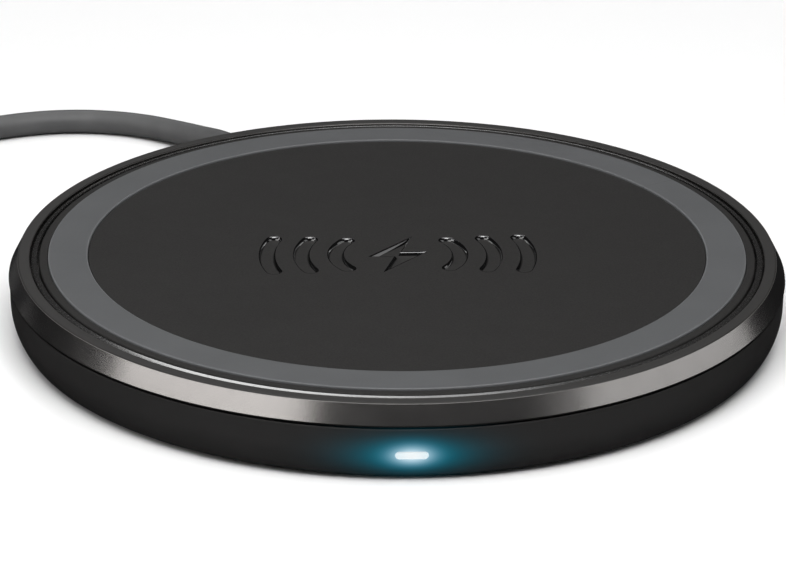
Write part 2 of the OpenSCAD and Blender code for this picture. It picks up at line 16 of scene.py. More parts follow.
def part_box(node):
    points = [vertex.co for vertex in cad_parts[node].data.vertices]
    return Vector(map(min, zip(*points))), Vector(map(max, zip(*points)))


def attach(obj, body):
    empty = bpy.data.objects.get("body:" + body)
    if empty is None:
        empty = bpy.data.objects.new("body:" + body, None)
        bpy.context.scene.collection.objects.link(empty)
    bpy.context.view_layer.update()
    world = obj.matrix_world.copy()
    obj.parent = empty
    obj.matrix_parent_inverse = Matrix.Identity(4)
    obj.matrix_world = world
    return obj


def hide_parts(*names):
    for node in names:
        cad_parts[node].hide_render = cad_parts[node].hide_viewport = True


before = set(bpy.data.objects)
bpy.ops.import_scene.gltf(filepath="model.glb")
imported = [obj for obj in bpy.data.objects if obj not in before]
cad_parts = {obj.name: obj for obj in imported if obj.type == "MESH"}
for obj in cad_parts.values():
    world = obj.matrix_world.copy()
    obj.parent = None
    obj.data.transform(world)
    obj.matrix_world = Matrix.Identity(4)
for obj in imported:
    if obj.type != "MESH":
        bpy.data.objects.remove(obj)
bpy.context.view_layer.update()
MM = 0.001

# %% [markdown]
# ## Where everything is
# The radii and levels of the housing are read from the frame's boxes, so the new pieces fit
# the model whatever its size. Only the small steps inside a piece are written here.

# %% Sizes read from the frame


def box_mm(node):
    """Lowest and highest corner of a CAD node, in millimetres."""
    low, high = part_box(node)
    return low / MM, high / MM


base_low, base_high = box_mm("base_shell")
bezel_high = box_mm("bezel_ring")[1]
bead_low, bead_high = box_mm("trim_ring")
cover_high = box_mm("top_cover")[1]
grip_high = box_mm("grip_ring")[1]
pad_r, land_z = bezel_high.x, bezel_high.z
wall_r, base_z = base_high.x, base_low.z
bead_r, disc_z = bead_high.x, bead_high.z
cover_r, grip_r, pad_h = cover_high.x, grip_high.x, grip_high.z
print(f"pad {2 * pad_r:.1f} mm across and {pad_h:.1f} mm high, base {base_z:.1f} mm off the table")

# %% [markdown]
# ## The camera
# A wide lens close by would pull the round pad out of shape. So the camera stands well back
# with a long lens, which keeps the circle a clean ellipse. It looks down at about 23 degrees,
# almost straight at the status light, and a small shift places the pad in the frame without
# tilting the view.

# %% Camera
VIEW_TURN = radians(-2.16)
VIEW_HEIGHT = radians(23.06)
VIEW_ROLL = radians(0.375)
VIEW_FROM = 411.3 * MM
LENS = 144.5
SHIFT = (-0.0047, 0.0241)

back = Vector((sin(VIEW_TURN) * cos(VIEW_HEIGHT), -cos(VIEW_TURN) * cos(VIEW_HEIGHT),
               sin(VIEW_HEIGHT)))
bpy.ops.object.select_all(action="DESELECT")
bpy.ops.object.camera_add(location=Vector((0, 0, base_z * MM)) + back * VIEW_FROM)
camera = bpy.context.object
camera.rotation_mode = "QUATERNION"
camera.rotation_quaternion = back.to_track_quat("Z", "Y") @ Quaternion((0, 0, 1), VIEW_ROLL)
camera.data.lens = LENS
camera.data.shift_x, camera.data.shift_y = SHIFT
camera.data.clip_start = 0.01
bpy.context.scene.camera = camera
print("camera at", [round(v, 3) for v in camera.location])

# %% [markdown]
# ## The cable
# The lead is one fixed length of soft round cable. It leaves the housing through the strain
# relief, sinks to the table and runs away to the left, where the length that is not needed
# is wound into two layers of a neat coil, as for storage. It could be a swept mesh, but a
# curve with a round bevel keeps its real length and stays easy to change. The points of the
# free run are listed one by one, and a loop works out the turns of the coil.

# %% The route of the cable
CABLE_D = 3.5 * MM
RUN = [
    (-0.0165, 0.04125, 0.00375), (-0.019, 0.0475, 0.00375), (-0.0215, 0.05375, 0.00375),
    (-0.0235, 0.0575, 0.0033), (-0.0265, 0.0615, 0.0026), (-0.0305, 0.0655, 0.0021),
    (-0.0355, 0.069, 0.00185), (-0.041, 0.071, 0.00175), (-0.047, 0.0715, 0.00175),
    (-0.053, 0.0705, 0.00175), (-0.059, 0.0682, 0.00175), (-0.0655, 0.0656, 0.00175),
    (-0.072, 0.063, 0.00175), (-0.0795, 0.06, 0.00175), (-0.087, 0.057, 0.00175),
    (-0.092, 0.055, 0.00175), (-0.097, 0.053, 0.00175),
]
TAIL = [(-0.113, 0.015, 0.005), (-0.111, 0.01, 0.0045), (-0.109, 0.005, 0.004),
        (-0.107, 0.0, 0.004)]
COIL_AT = Vector((-0.086, 0.026))
TIE_AT = -40
print(f"{len(RUN)} points from the pad to the coil, {len(TAIL)} from the coil to the plug")

# %% [markdown]
# The coil is described by an angle that only grows. The lower layer winds inwards from the
# end of the run, the cable climbs on to itself at the inside, and the upper layer winds
# outwards until it leaves towards the plug. Over the strap of the tie, each turn lifts by
# the strap's thickness.

# %% Sizes of the coil
COIL_OUT = 25.4 * MM
COIL_IN = 13.15 * MM
CLIMB, CLIMB_IN = 110, 0.1
SETTLE = 88
LEAVE = 100
TURN_STEP = 15
UPPER_TURNS = 3
STRAP_T = 0.75 * MM
STRAP_HALF = 4.7 * MM
STRAP_EASE = 10 * MM


def ease(share):
    """A smooth step from 0 to 1."""
    share = min(1, max(0, share))
    return share * share * (3 - 2 * share)


def plan_angle(point):
    """Angle of a point round the middle of the coil, from 0 to 360 degrees."""
    return degrees(atan2(point[1] - COIL_AT.y, point[0] - COIL_AT.x)) % 360


edge_r = hypot(RUN[-1][0] - COIL_AT.x, RUN[-1][1] - COIL_AT.y)
coil_start = plan_angle(RUN[-1])
lower_start = coil_start + SETTLE
lower_end = lower_start + 360 * (COIL_OUT - COIL_IN) / CABLE_D
upper_start = lower_end + CLIMB
leave_at = plan_angle(TAIL[0])
coil_end = leave_at + 360 * round((upper_start + 360 * UPPER_TURNS - leave_at) / 360)
print(f"coil {2 * COIL_OUT / MM:.1f} mm across its outer turn, {2 * COIL_IN / MM:.1f} mm inside")

# %% The turns of the coil


def coil_radius(angle):
    """Distance of the cable's centre line from the middle of the coil."""
    if angle < lower_start:
        return edge_r + (COIL_OUT - edge_r) * ease((angle - coil_start) / SETTLE)
    if angle < lower_end:
        return COIL_OUT - CABLE_D * (angle - lower_start) / 360
    if angle < upper_start:
        return COIL_IN - CLIMB_IN * CABLE_D * sin(pi * (angle - lower_end) / CLIMB)
    upper = COIL_IN + CABLE_D * (angle - upper_start) / 360
    last = COIL_IN + CABLE_D * (coil_end - upper_start) / 360
    return upper + (edge_r - last) * ease((angle - coil_end + LEAVE) / LEAVE)


def coil_height(angle, radius):
    """Height of the centre line: its layer, and the lift over the tie's strap."""
    layer = CABLE_D / 2 + CABLE_D * ease((angle - lower_end) / CLIMB)
    layer -= (CABLE_D * 1.5 - TAIL[0][2]) * ease((angle - coil_end + LEAVE) / LEAVE)
    from_tie = abs((angle - TIE_AT + 180) % 360 - 180)
    lift = 1 - ease((radians(from_tie) * radius - STRAP_HALF) / STRAP_EASE)
    return layer + STRAP_T * lift


steps = ceil((coil_end - coil_start) / TURN_STEP)
turns = []
for i in range(1, steps):
    angle = coil_start + (coil_end - coil_start) * i / steps
    radius = coil_radius(angle)
    spot = COIL_AT + radius * Vector((cos(radians(angle)), sin(radians(angle))))
    turns.append((spot.x, spot.y, coil_height(angle, radius)))
print(f"{len(turns)} points in {(coil_end - coil_start) / 360:.1f} turns")

# %% [markdown]
# The curve passes through all the points in turn. Automatic handles bend it evenly between
# them, and its round bevel with closed ends makes it a solid cable.

# %% Draw the cable along its route
CABLE_STEPS, CABLE_SIDES = 5, 5
route = RUN + turns + TAIL
line = bpy.data.curves.new("cable", "CURVE")
line.dimensions = "3D"
spline = line.splines.new("BEZIER")
spline.bezier_points.add(len(route) - 1)
for knot, place in zip(spline.bezier_points, route):
    knot.co = place
    knot.handle_left_type = knot.handle_right_type = "AUTO"
spline.resolution_u = CABLE_STEPS
line.bevel_depth = CABLE_D / 2
line.bevel_resolution = CABLE_SIDES
line.use_fill_caps = True
cable = bpy.data.objects.new("cable", line)
bpy.context.scene.collection.objects.link(cable)
print(f"cable {spline.calc_length() / MM:.0f} mm long")

# %% [markdown]
# ## Finishes as expressions
# A finish is a small network of nodes. Written node by node it would be long and hard to
# read, so two small classes help: Wire stands for one output socket and turns arithmetic
# into Math nodes, and Finish starts a material, adds any other node in one call and feeds
# the surface shader.

# %% One output socket that can be used in arithmetic


class Wire:
    """An output socket of a finish. Operators on it add Math nodes."""

    def __init__(self, tree, socket):
        self.tree, self.socket = tree, socket

    def maths(self, operation, first, second=0.0):
        made = self.tree.nodes.new("ShaderNodeMath")
        made.operation = operation
        for way_in, value in zip(made.inputs, (first, second)):
            feed(self.tree, way_in, value)
        return Wire(self.tree, made.outputs[0])

    def __add__(self, other):
        return self.maths("ADD", self, other)

    def __sub__(self, other):
        return self.maths("SUBTRACT", self, other)

    def __rsub__(self, other):
        return self.maths("SUBTRACT", other, self)

    def __mul__(self, other):
        return self.maths("MULTIPLY", self, other)

    def __truediv__(self, other):
        return self.maths("DIVIDE", self, other)

    def __pow__(self, other):
        return self.maths("POWER", self, other)

    def __gt__(self, other):
        return self.maths("GREATER_THAN", self, other)

    def __lt__(self, other):
        return self.maths("LESS_THAN", self, other)

    def one(self, operation):
        """A function of one value, such as SINE, ABSOLUTE or EXPONENT."""
        return self.maths(operation, self)

    __radd__ = __add__
    __rmul__ = __mul__


def feed(tree, way_in, value):
    """Links a wire to an input, or sets the input to a number or colour."""
    if isinstance(value, Wire):
        tree.links.new(value.socket, way_in)
    elif isinstance(value, tuple) and way_in.type == "RGBA":
        way_in.default_value = (*value, 1)
    else:
        way_in.default_value = value


# %% [markdown]
# A finish is a material with a Principled shader. Its patterns are placed by Object
# coordinates, so they have a true size on the piece and don't slide when it is seen from
# another side.

# %% A finish: a material with its shader and a short way to add nodes


class Finish:
    """A procedural material on Object coordinates. Its surface sockets are set with look()."""

    def __init__(self, name, **sockets):
        self.material = bpy.data.materials.new(name)
        self.material.use_nodes = True
        self.tree = self.material.node_tree
        self.shader = self.tree.nodes["Principled BSDF"]
        self.place = self.node("ShaderNodeTexCoord", output="Object")
        self.look(**sockets)

    def node(self, kind, settings=None, inputs=None, output=0):
        """Adds a node: its type, its settings, then the values or wires of its sockets."""
        made = self.tree.nodes.new(kind)
        for name, value in (settings or {}).items():
            setattr(made, name, value)
        for key, value in (inputs or {}).items():
            feed(self.tree, made.inputs[key], value)
        return Wire(self.tree, made.outputs[output])

    def look(self, **sockets):
        """Sets or links sockets of the surface shader, with _ for each space in a name."""
        for name, value in sockets.items():
            feed(self.tree, self.shader.inputs[name.replace("_", " ")], value)
        return self

    def xyz(self):
        """The three Object coordinates, in millimetres."""
        split = self.node("ShaderNodeSeparateXYZ", None, {0: self.place}).socket.node
        return [Wire(self.tree, way_out) / MM for way_out in split.outputs]

    def noise(self, grain_mm, detail=2.0, roughness=0.5):
        """Noise whose grains are about grain_mm across."""
        return self.node("ShaderNodeTexNoise", None, {
            "Vector": self.place, "Scale": 1 / (grain_mm * MM),
            "Detail": detail, "Roughness": roughness})

    def spread(self, value, low, high, to_low=0.0, to_high=1.0):
        """Maps a value from one range to another and holds it there."""
        return self.node("ShaderNodeMapRange", None, {
            0: value, 1: low, 2: high, 3: to_low, 4: to_high})

    def mix(self, share, first, second):
        """A colour between two colours."""
        return self.node("ShaderNodeMix", {"data_type": "RGBA"},
                         {0: share, 6: first, 7: second}, 2)

    def bump(self, height, depth_mm, strength):
        """Relief from a height of 0 to 1 that stands for depth_mm."""
        return self.node("ShaderNodeBump", None, {
            "Height": height, "Distance": depth_mm * MM, "Strength": strength})


# %% [markdown]
# ## Turned and moulded rings
# Almost every shell of this pad is round about one axis: base, bezel, bead, cover and grip
# ring. Such a piece could be cut from cylinders, but a lathe is the natural way: the section
# is drawn once, its corners are rounded, and it is spun about the axis. The section starts as
# a filled circle with one corner for each corner of the outline. A Bevel modifier on the
# corners rounds each by its own amount, which is kept as the corner's bevel weight.

# %% Work on one piece
ROUND, FILLET_STEPS = 256, 5
MERGE, ON_AXIS = 1e-6, 1e-7


def deselect():
    """Leaves nothing selected, so that an operator acts on what is picked next."""
    bpy.ops.object.select_all(action="DESELECT")


def only(piece):
    """Makes one piece the selected and active one."""
    deselect()
    piece.select_set(True)
    bpy.context.view_layer.objects.active = piece
    return piece


def add_modifier(piece, kind, **settings):
    """Adds a modifier with its settings and applies it."""
    only(piece)
    modifier = piece.modifiers.new(kind.title(), kind)
    for name, value in settings.items():
        setattr(modifier, name, value)
    bpy.ops.object.modifier_apply(modifier=modifier.name)
    return piece


def start(add, name, **settings):
    """Adds a primitive by its operator, with nothing else selected, and names it."""
    deselect()
    add(**settings)
    piece = bpy.context.object
    piece.name = piece.data.name = name
    return piece


def fix_place(piece):
    """Moves the object's place, turn and size into its mesh."""
    only(piece)
    bpy.ops.object.transform_apply(location=True, rotation=True, scale=True)
    return piece


# %% The lathe


def outline(name, corners):
    """A flat section in the XZ plane. Each corner is (radius, height, fillet) in millimetres."""
    piece = start(bpy.ops.mesh.primitive_circle_add, name,
                  vertices=len(corners), radius=MM, fill_type="NGON")
    widest = max(fillet for _, _, fillet in corners)
    weights = piece.data.attributes.new("bevel_weight_vert", "FLOAT", "POINT")
    for i, (radius, height, fillet) in enumerate(corners):
        piece.data.vertices[i].co = (radius * MM, 0, height * MM)
        weights.data[i].value = fillet / widest if widest else 0
    if widest:
        add_modifier(piece, "BEVEL", affect="VERTICES", limit_method="WEIGHT",
                     width=widest * MM, segments=FILLET_STEPS, use_clamp_overlap=False)
    return piece


def lathe(name, corners, steps=ROUND):
    """Spins an outline about the Z axis into a closed solid."""
    piece = only(outline(name, corners))
    bpy.ops.object.mode_set(mode="EDIT")
    bpy.ops.mesh.select_all(action="SELECT")
    bpy.ops.mesh.delete(type="ONLY_FACE")
    mesh = bmesh.from_edit_mesh(piece.data)
    on_axis = [e for e in mesh.edges if all(abs(v.co.x) < ON_AXIS for v in e.verts)]
    bmesh.ops.delete(mesh, geom=on_axis, context="EDGES")
    bmesh.update_edit_mesh(piece.data)
    bpy.ops.mesh.select_all(action="SELECT")
    bpy.ops.mesh.spin(steps=steps, angle=tau, center=(0, 0, 0), axis=(0, 0, 1))
    bpy.ops.mesh.select_all(action="SELECT")
    bpy.ops.mesh.remove_doubles(threshold=MERGE)
    bpy.ops.mesh.normals_make_consistent(inside=False)
    bpy.ops.object.mode_set(mode="OBJECT")
    return piece


# %% [markdown]
# ## Boring and joining
# Screw wells, the light slot and the cable's hole are made as on a mill: a tool body is
# placed and its space is taken away with a Boolean modifier. The tool is then removed.
# Rounded bars and tubes of sheet start as a plain bar: a rule picks their edges or faces,
# and these are bevelled or deleted in edit mode.

# %% Cutters and bars


def combine(piece, tool, way="DIFFERENCE"):
    """Cuts a tool out of a piece, or fuses it on, and removes the tool."""
    add_modifier(piece, "BOOLEAN", operation=way, object=tool, solver="EXACT")
    bpy.data.objects.remove(tool)
    return piece


def rod(name, radius, low, high, at=(0, 0), sides=48):
    """A round bar between two levels, in millimetres."""
    piece = start(bpy.ops.mesh.primitive_cylinder_add, name, vertices=sides, radius=radius * MM,
                  depth=(high - low) * MM, location=(at[0] * MM, at[1] * MM, (low + high) / 2 * MM))
    return fix_place(piece)


def bar(name, size, at):
    """A plain bar of a size in millimetres with its middle at a place, as a start for a shape."""
    piece = start(bpy.ops.mesh.primitive_cube_add, name, size=1, location=[v * MM for v in at])
    piece.scale = [v * MM for v in size]
    return fix_place(piece)


# %% Edges and faces picked by a rule


def pick(piece, kind, wanted):
    """Enters edit mode with only those edges or faces selected for which wanted() is true."""
    only(piece)
    bpy.ops.object.mode_set(mode="EDIT")
    bpy.ops.mesh.select_mode(type=kind)
    bpy.ops.mesh.select_all(action="DESELECT")
    mesh = bmesh.from_edit_mesh(piece.data)
    for element in mesh.edges if kind == "EDGE" else mesh.faces:
        element.select = wanted(element)
    bmesh.update_edit_mesh(piece.data)


def leave_edit(piece):
    """Goes back to object mode, with points as what the next edit selects."""
    bpy.ops.mesh.select_mode(type="VERT")
    bpy.ops.object.mode_set(mode="OBJECT")
    return piece


def round_edges(piece, wanted, width, segments=FILLET_STEPS):
    """Bevels the edges that wanted(edge) picks, by a width in millimetres."""
    pick(piece, "EDGE", wanted)
    bpy.ops.mesh.bevel(offset=width * MM, segments=segments, affect="EDGES", clamp_overlap=False)
    return leave_edit(piece)


def sheet_tube(piece, axis, wall):
    """Turns a bar into a tube of sheet: its ends across an axis go, and it gets a wall."""
    pick(piece, "FACE", lambda face: abs(face.normal[axis]) > 0.9)
    bpy.ops.mesh.delete(type="FACE")
    leave_edit(piece)
    return add_modifier(piece, "SOLIDIFY", thickness=wall * MM, offset=-1, use_even_offset=True)


def break_edges(piece, width):
    """Takes the sharpness off every edge of over 60 degrees, by a width in millimetres."""
    return add_modifier(piece, "BEVEL", width=width * MM, segments=2, limit_method="ANGLE",
                        angle_limit=radians(60))


def along(axis):
    """Picks the edges that run along an axis: 0, 1 or 2."""
    def wanted(edge):
        run = edge.verts[1].co - edge.verts[0].co
        return abs(run[axis]) > 0.99 * run.length
    return wanted


# %% The last touch on a mesh


def smooth(piece, angle=32):
    """Smooth shading with sharp edges kept, weighted so that flat faces stay flat."""
    only(piece)
    bpy.ops.object.shade_smooth_by_angle(angle=radians(angle))
    return add_modifier(piece, "WEIGHTED_NORMAL", keep_sharp=True, weight=80)


def move(piece, matrix):
    """Places a finished mesh, so that its object stays at the origin."""
    piece.data.transform(matrix)
    piece.data.update()
    return piece


def copy_of(piece, name, matrix):
    """A copy with its own mesh, placed by a matrix."""
    twin = piece.copy()
    twin.data = piece.data.copy()
    twin.name = twin.data.name = name
    bpy.context.scene.collection.objects.link(twin)
    return move(twin, matrix)


def fit(piece, finish, slot, *nodes):
    """Gives a piece its finish, lets it ride on the pad and stand for its CAD nodes."""
    if not piece.data.materials:
        piece.data.materials.append(finish.material)
    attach(piece, "root")
    if nodes:
        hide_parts(*nodes)
    print(f"{piece.name}: {slot}, in place of {', '.join(nodes) or 'nothing'}")
    return piece


def around(radius, angle):
    """A point on the plan at a radius and an angle in degrees."""
    return radius * cos(radians(angle)), radius * sin(radians(angle))


# %% [markdown]
# ## The base shell
# The base is an injection-moulded tray of matt black plastic. Its wall curves in at the
# bottom so that the pad seems to float, and a step at the top leaves a thin shadow gap under
# the bezel. Underneath it has a shallow dish in the middle, wells for the feet with the
# screws hidden in them, and inside stand the posts that carry the board.

# %% Spin the base
SEAM_H, SEAM_DEPTH = 0.2, 0.6
WALL_T, FLOOR_T = 2, 1.6
ARC_R, ARC_H, ARC_STEPS, ARC_FILLET = 6.6, 4, 10, 0.3
DISH_R, DISH_DEPTH = 27, 0.25

bezel_z = base_high.z
wall_in_r = wall_r - WALL_T
floor_z = base_z + FLOOR_T
arc_low = asin(ARC_H / ARC_R)
wall_arc = []
for i in range(ARC_STEPS + 1):
    angle = -arc_low * (1 - i / ARC_STEPS)
    wall_arc.append((wall_r - ARC_R + ARC_R * cos(angle), base_z + ARC_H + ARC_R * sin(angle),
                     ARC_FILLET if i == 0 else 0))
base_shell = lathe("base_shell_moulded", [
    (0, base_z + DISH_DEPTH, 0), (DISH_R, base_z + DISH_DEPTH, 0.15),
    (DISH_R + DISH_DEPTH, base_z, 0.12), *wall_arc,
    (wall_r, bezel_z - SEAM_H, 0.12), (wall_r - SEAM_DEPTH, bezel_z - SEAM_H, 0.05),
    (wall_r - SEAM_DEPTH, bezel_z, 0), (wall_in_r, bezel_z, 0.1),
    (wall_in_r, floor_z, 0.6), (0, floor_z, 0)])
print(f"base: {len(base_shell.data.polygons)} faces before its holes")

# %% [markdown]
# Bosses and posts are fused on before any hole is drilled, because a hole that is made first
# would be filled again. Each well is a twentieth of a millimetre wider than the foot or the
# screw in it, and the holes in the posts are narrow, so that the screws cut their own thread.

# %% Sizes of the screws, posts and openings
FOOT_R, FOOT_SINK, FIT = 4.5, 0.4, 0.05
CASE_ANGLES = (45, 135, 225, 315)
BOARD_ANGLES = (30, 160, 270)
CASE_SCREW_R, HEAD_R, HEAD_H = 1, 1.9, 1.1
BOARD_HEAD_R = 1.6
CASE_BOSS_R, CASE_BOSS_H = 3, 2.2
POST_R, POST_HOLE_R, POST_HOLE_FLOOR = 2.25, 0.87, 0.3
WELL_SIDES, HOLE_SIDES = 72, 32
SLOT_W, SLOT_H, SLOT_GAP, SLOT_ROUND = 3.9, 1, 0.1, 0.54
SLOT_CUT, SLOT_CUT_IN = 4, 0.5
LONG_EDGE_STEPS = 8
EXIT_Z = RUN[0][2] / MM
RELIEF_R = 2.6

foot_high = box_mm("rubber_feet")[1]
screw_low = box_mm("case_screws")[0]
board_low = box_mm("main_board")[0]
post_low = box_mm("board_screws")[0]
pipe_low, pipe_high = box_mm("light_pipe")
case_at = (foot_high.x - FOOT_R) / cos(radians(45))
post_at = -post_low.y - BOARD_HEAD_R
slot_z = (pipe_low.z + pipe_high.z) / 2
exit_turn = atan2(RUN[1][1] - RUN[0][1], RUN[1][0] - RUN[0][0])
boss_top = floor_z + CASE_BOSS_H
print(f"feet {case_at:.2f} mm and board posts {post_at:.2f} mm from the middle")

# %% Bosses, posts and their holes
for angle in CASE_ANGLES:
    at = around(case_at, angle)
    combine(base_shell, rod("boss", CASE_BOSS_R, base_z + FOOT_SINK, boss_top, at), "UNION")
for angle in BOARD_ANGLES:
    at = around(post_at, angle)
    combine(base_shell, rod("post", POST_R, base_z + FOOT_SINK, board_low.z, at), "UNION")
for angle in CASE_ANGLES:
    at = around(case_at, angle)
    for cutter in (
            rod("foot well", FOOT_R + FIT, base_z - 1, base_z + FOOT_SINK, at, WELL_SIDES),
            rod("head well", HEAD_R + FIT, base_z, screw_low.z + HEAD_H, at),
            rod("screw hole", CASE_SCREW_R + FIT, base_z, boss_top + 1, at, HOLE_SIDES)):
        combine(base_shell, cutter)
for angle in BOARD_ANGLES:
    hole = rod("post hole", POST_HOLE_R, floor_z + POST_HOLE_FLOOR, board_low.z + 1,
               around(post_at, angle), HOLE_SIDES)
    combine(base_shell, hole)
print(f"{len(CASE_ANGLES)} bosses and {len(BOARD_ANGLES)} posts, each bored")

# %% The light slot and the cable's hole
slot = round_edges(bar("slot", (SLOT_W + SLOT_GAP, SLOT_CUT, SLOT_H + SLOT_GAP),
                       (0, -wall_r + SLOT_CUT_IN, slot_z)), along(1), SLOT_ROUND, LONG_EDGE_STEPS)
combine(base_shell, slot)
out = (Matrix.Rotation(exit_turn, 4, "Z") @ Matrix.Translation((0, 0, EXIT_Z * MM))
       @ Matrix.Rotation(pi / 2, 4, "Y"))
hole = move(rod("cable hole", RELIEF_R + FIT, wall_in_r - 5, wall_r + 2, sides=64), out)
combine(base_shell, hole)
smooth(base_shell)
print(f"base: {len(base_shell.data.polygons)} faces with its holes")

# %% [markdown]
# ## The finish of the base
# The plastic is spark-textured: the mould leaves a fine even grain that scatters light, so
# the black looks soft. The grain is noise about a quarter of a millimetre across that drives
# a slight relief. Round the light slot a painted glow stands in for the light's spill on the
# plastic: emission that is strongest beside the slot and fades to a deep teal, over a base
# colour tinted the same way. It is drawn from the distance to the slot along the wall, so it
# looks the same from every side, and it ends before the underside.

# %% Matt black plastic with a painted glow at the light
GLOW_REACH, GLOW_FADE = 12, 8
BASE_BLACK = (0.02, 0.019, 0.0188)
glow_end = GLOW_REACH - pad_r


def spark_texture(name, colour, grain_mm=0.22, depth_mm=0.02, roughness=0.55):
    """Moulded plastic with an even fine grain."""
    made = Finish(name, Base_Color=colour, Specular_IOR_Level=0.35)
    grain = made.noise(grain_mm, detail=3)
    cloud = made.noise(6, detail=2)
    made.look(Roughness=made.spread(cloud, 0.3, 0.7, roughness - 0.05, roughness + 0.05),
              Normal=made.bump(grain, depth_mm, 0.6))
    return made


base_plastic = spark_texture("base_plastic", BASE_BLACK)
x, y, z = base_plastic.xyz()
at_front = base_plastic.spread(y, glow_end - GLOW_FADE, glow_end, 1, 0)


def halo(wide, high):
    """1 at the light, fading over a width and a height in millimetres."""
    across = (x / wide) ** 2 + ((z - slot_z) / high) ** 2
    return (across * -1).one("EXPONENT") * at_front


# Painted glow: emission in white, blue and teal round the slot, and a base colour tinted towards
# teal, stand in for the light's spill on the plastic.
teal = base_plastic.mix(halo(6.4, 2.0), (0, 0, 0), (0.0, 0.12, 0.17))
blue = base_plastic.mix(halo(2.9, 1.45), teal, (0.0, 0.27, 0.42))
white = base_plastic.mix(halo(1.95, 0.95), blue, (0.7, 0.86, 0.95))
painted_glow_base = base_plastic.mix(halo(7.0, 2.6), BASE_BLACK, (0.0, 0.004, 0.006))
base_plastic.look(Base_Color=painted_glow_base, Emission_Color=white, Emission_Strength=1)
fit(base_shell, base_plastic, "base_plastic", "base_shell")

# %% [markdown]
# ## The bezel
# A turned aluminium ring closes the gap between base and cover. Its sloping face is what
# sparkles on this pad, so its edges are rounded only a little and stay crisp. A rib on its
# underside locates it inside the base's wall.

# %% Spin the bezel
LAND_W, LEAN, BEZEL_EDGE = 1.45, 1.3, 0.2
RIB_GAP, RIB_W, RIB_H = 0.1, 0.8, 0.9
SEAT_W = 1.2

land_out_r = pad_r - LEAN
land_in_r = land_out_r - LAND_W
rib_out_r = wall_in_r - RIB_GAP
rib_in_r = rib_out_r - RIB_W
seat_r = cover_r - SEAT_W
cover_z = bead_low.z
bezel_ring = lathe("bezel_turned", [
    (seat_r, bezel_z, 0.05), (rib_in_r, bezel_z, 0), (rib_in_r, bezel_z - RIB_H, 0.15),
    (rib_out_r, bezel_z - RIB_H, 0.15), (rib_out_r, bezel_z, 0),
    (pad_r - BEZEL_EDGE, bezel_z, 0.05), (pad_r, bezel_z + BEZEL_EDGE, 0.1),
    (land_out_r, land_z, 0.16), (land_in_r, land_z, 0.12), (land_in_r, cover_z, 0.05),
    (seat_r, cover_z, 0.05)])
smooth(bezel_ring, 50)

# %% [markdown]
# Dark anodised aluminium is a metal with a grey-brown colour. Its turned face is satin: very
# fine rings from the tool, broken by a blasted grain, blur what it mirrors. The land on top
# is nearly black and dull, so a step over height turns the metal off there and the two part
# at the edge.

# %% Satin anodised aluminium
LAND_STARTS, LAND_FULL = 0.15, 0.09
RINGS_UP, RINGS_OUT = 55, 20
bezel_metal = Finish("bezel_metal", Specular_IOR_Level=0.3)
x, y, z = bezel_metal.xyz()
radius = (x * x + y * y) ** 0.5
on_land = bezel_metal.spread(z, land_z - LAND_STARTS, land_z - LAND_FULL)
rings = (z * RINGS_UP + radius * RINGS_OUT).one("SINE") * 0.5 + 0.5
blast = bezel_metal.noise(0.26, detail=4, roughness=0.65)
streak = bezel_metal.noise(2.5, detail=2)
bezel_metal.look(
    Base_Color=bezel_metal.mix(on_land, (0.42, 0.405, 0.395), (0.021, 0.02, 0.0193)),
    Metallic=1 - on_land,
    Roughness=0.19 + 0.34 * on_land + 0.05 * streak,
    Normal=bezel_metal.bump(0.15 * rings + 0.85 * blast, 0.012, 0.5))
fit(bezel_ring, bezel_metal, "bezel_metal", "bezel_ring")

# %% [markdown]
# ## The gloss bead
# Between bezel and cover lies a thin bead of polished black plastic. Its top leans outwards
# by a quarter of its width, so a light behind the pad draws one bright line along its front.
# It is spun like the bezel, with its two upper edges rounded.

# %% Spin the bead
BEAD_W, BEAD_LEAN, BEAD_EDGE = 0.7, 0.17, 0.1
bead_in_r = bead_r - BEAD_W
bead_ring = lathe("gloss_bead", [
    (bead_in_r, cover_z, 0.05), (bead_r, cover_z, 0.05), (bead_r, disc_z - BEAD_LEAN, BEAD_EDGE),
    (bead_in_r, disc_z, BEAD_EDGE)])
smooth(bead_ring, 60)


def polish(name, colour, haze):
    """Polished plastic: a dense gloss with a slow ripple and a few specks of dust."""
    made = Finish(name, Base_Color=colour, IOR=2.1)
    ripple = made.noise(1.1, detail=1)
    dust = made.noise(0.14, detail=2)
    made.look(Roughness=haze + 0.12 * (dust > 0.62), Normal=made.bump(ripple, 0.012, 0.35))
    return made


gloss_black = polish("gloss_black", (0.02, 0.0195, 0.019), 0.16)
fit(bead_ring, gloss_black, "gloss_black", "trim_ring")

# %% [markdown]
# ## The cover
# The cover is one moulding: a disc with a channel for the grip ring and a narrow band round
# it. Under it stand four bosses for the case screws. Its outer edge is rounded a little and
# catches the light, and its face is painted with a soft-touch lacquer.

# %% Spin the cover and add its bosses
CHANNEL_DEPTH, CHANNEL_GAP = 0.75, 0.05
GRIP_W = 5.2
BOSS_R, BOSS_SINK, PILOT_ROOF = 2.5, 0.1, 0.9

grip_out_r = grip_r + CHANNEL_GAP
grip_in_r = grip_out_r - GRIP_W
channel_z = disc_z - CHANNEL_DEPTH
cover = lathe("cover_moulded", [
    (0, cover_z, 0), (cover_r, cover_z, 0.1), (cover_r, disc_z, 0.22), (grip_out_r, disc_z, 0.08),
    (grip_out_r, channel_z, 0.05), (grip_in_r, channel_z, 0.05), (grip_in_r, disc_z, 0.1),
    (0, disc_z, 0)])
for angle in CASE_ANGLES:
    at = around(case_at, angle)
    combine(cover, rod("boss", BOSS_R, boss_top + FIT, cover_z + BOSS_SINK, at), "UNION")
    combine(cover, rod("pilot hole", CASE_SCREW_R, boss_top - 1, cover_z - PILOT_ROOF, at,
                       HOLE_SIDES))
print(f"cover {2 * cover_r:.1f} mm across, with a channel {GRIP_W} mm wide")

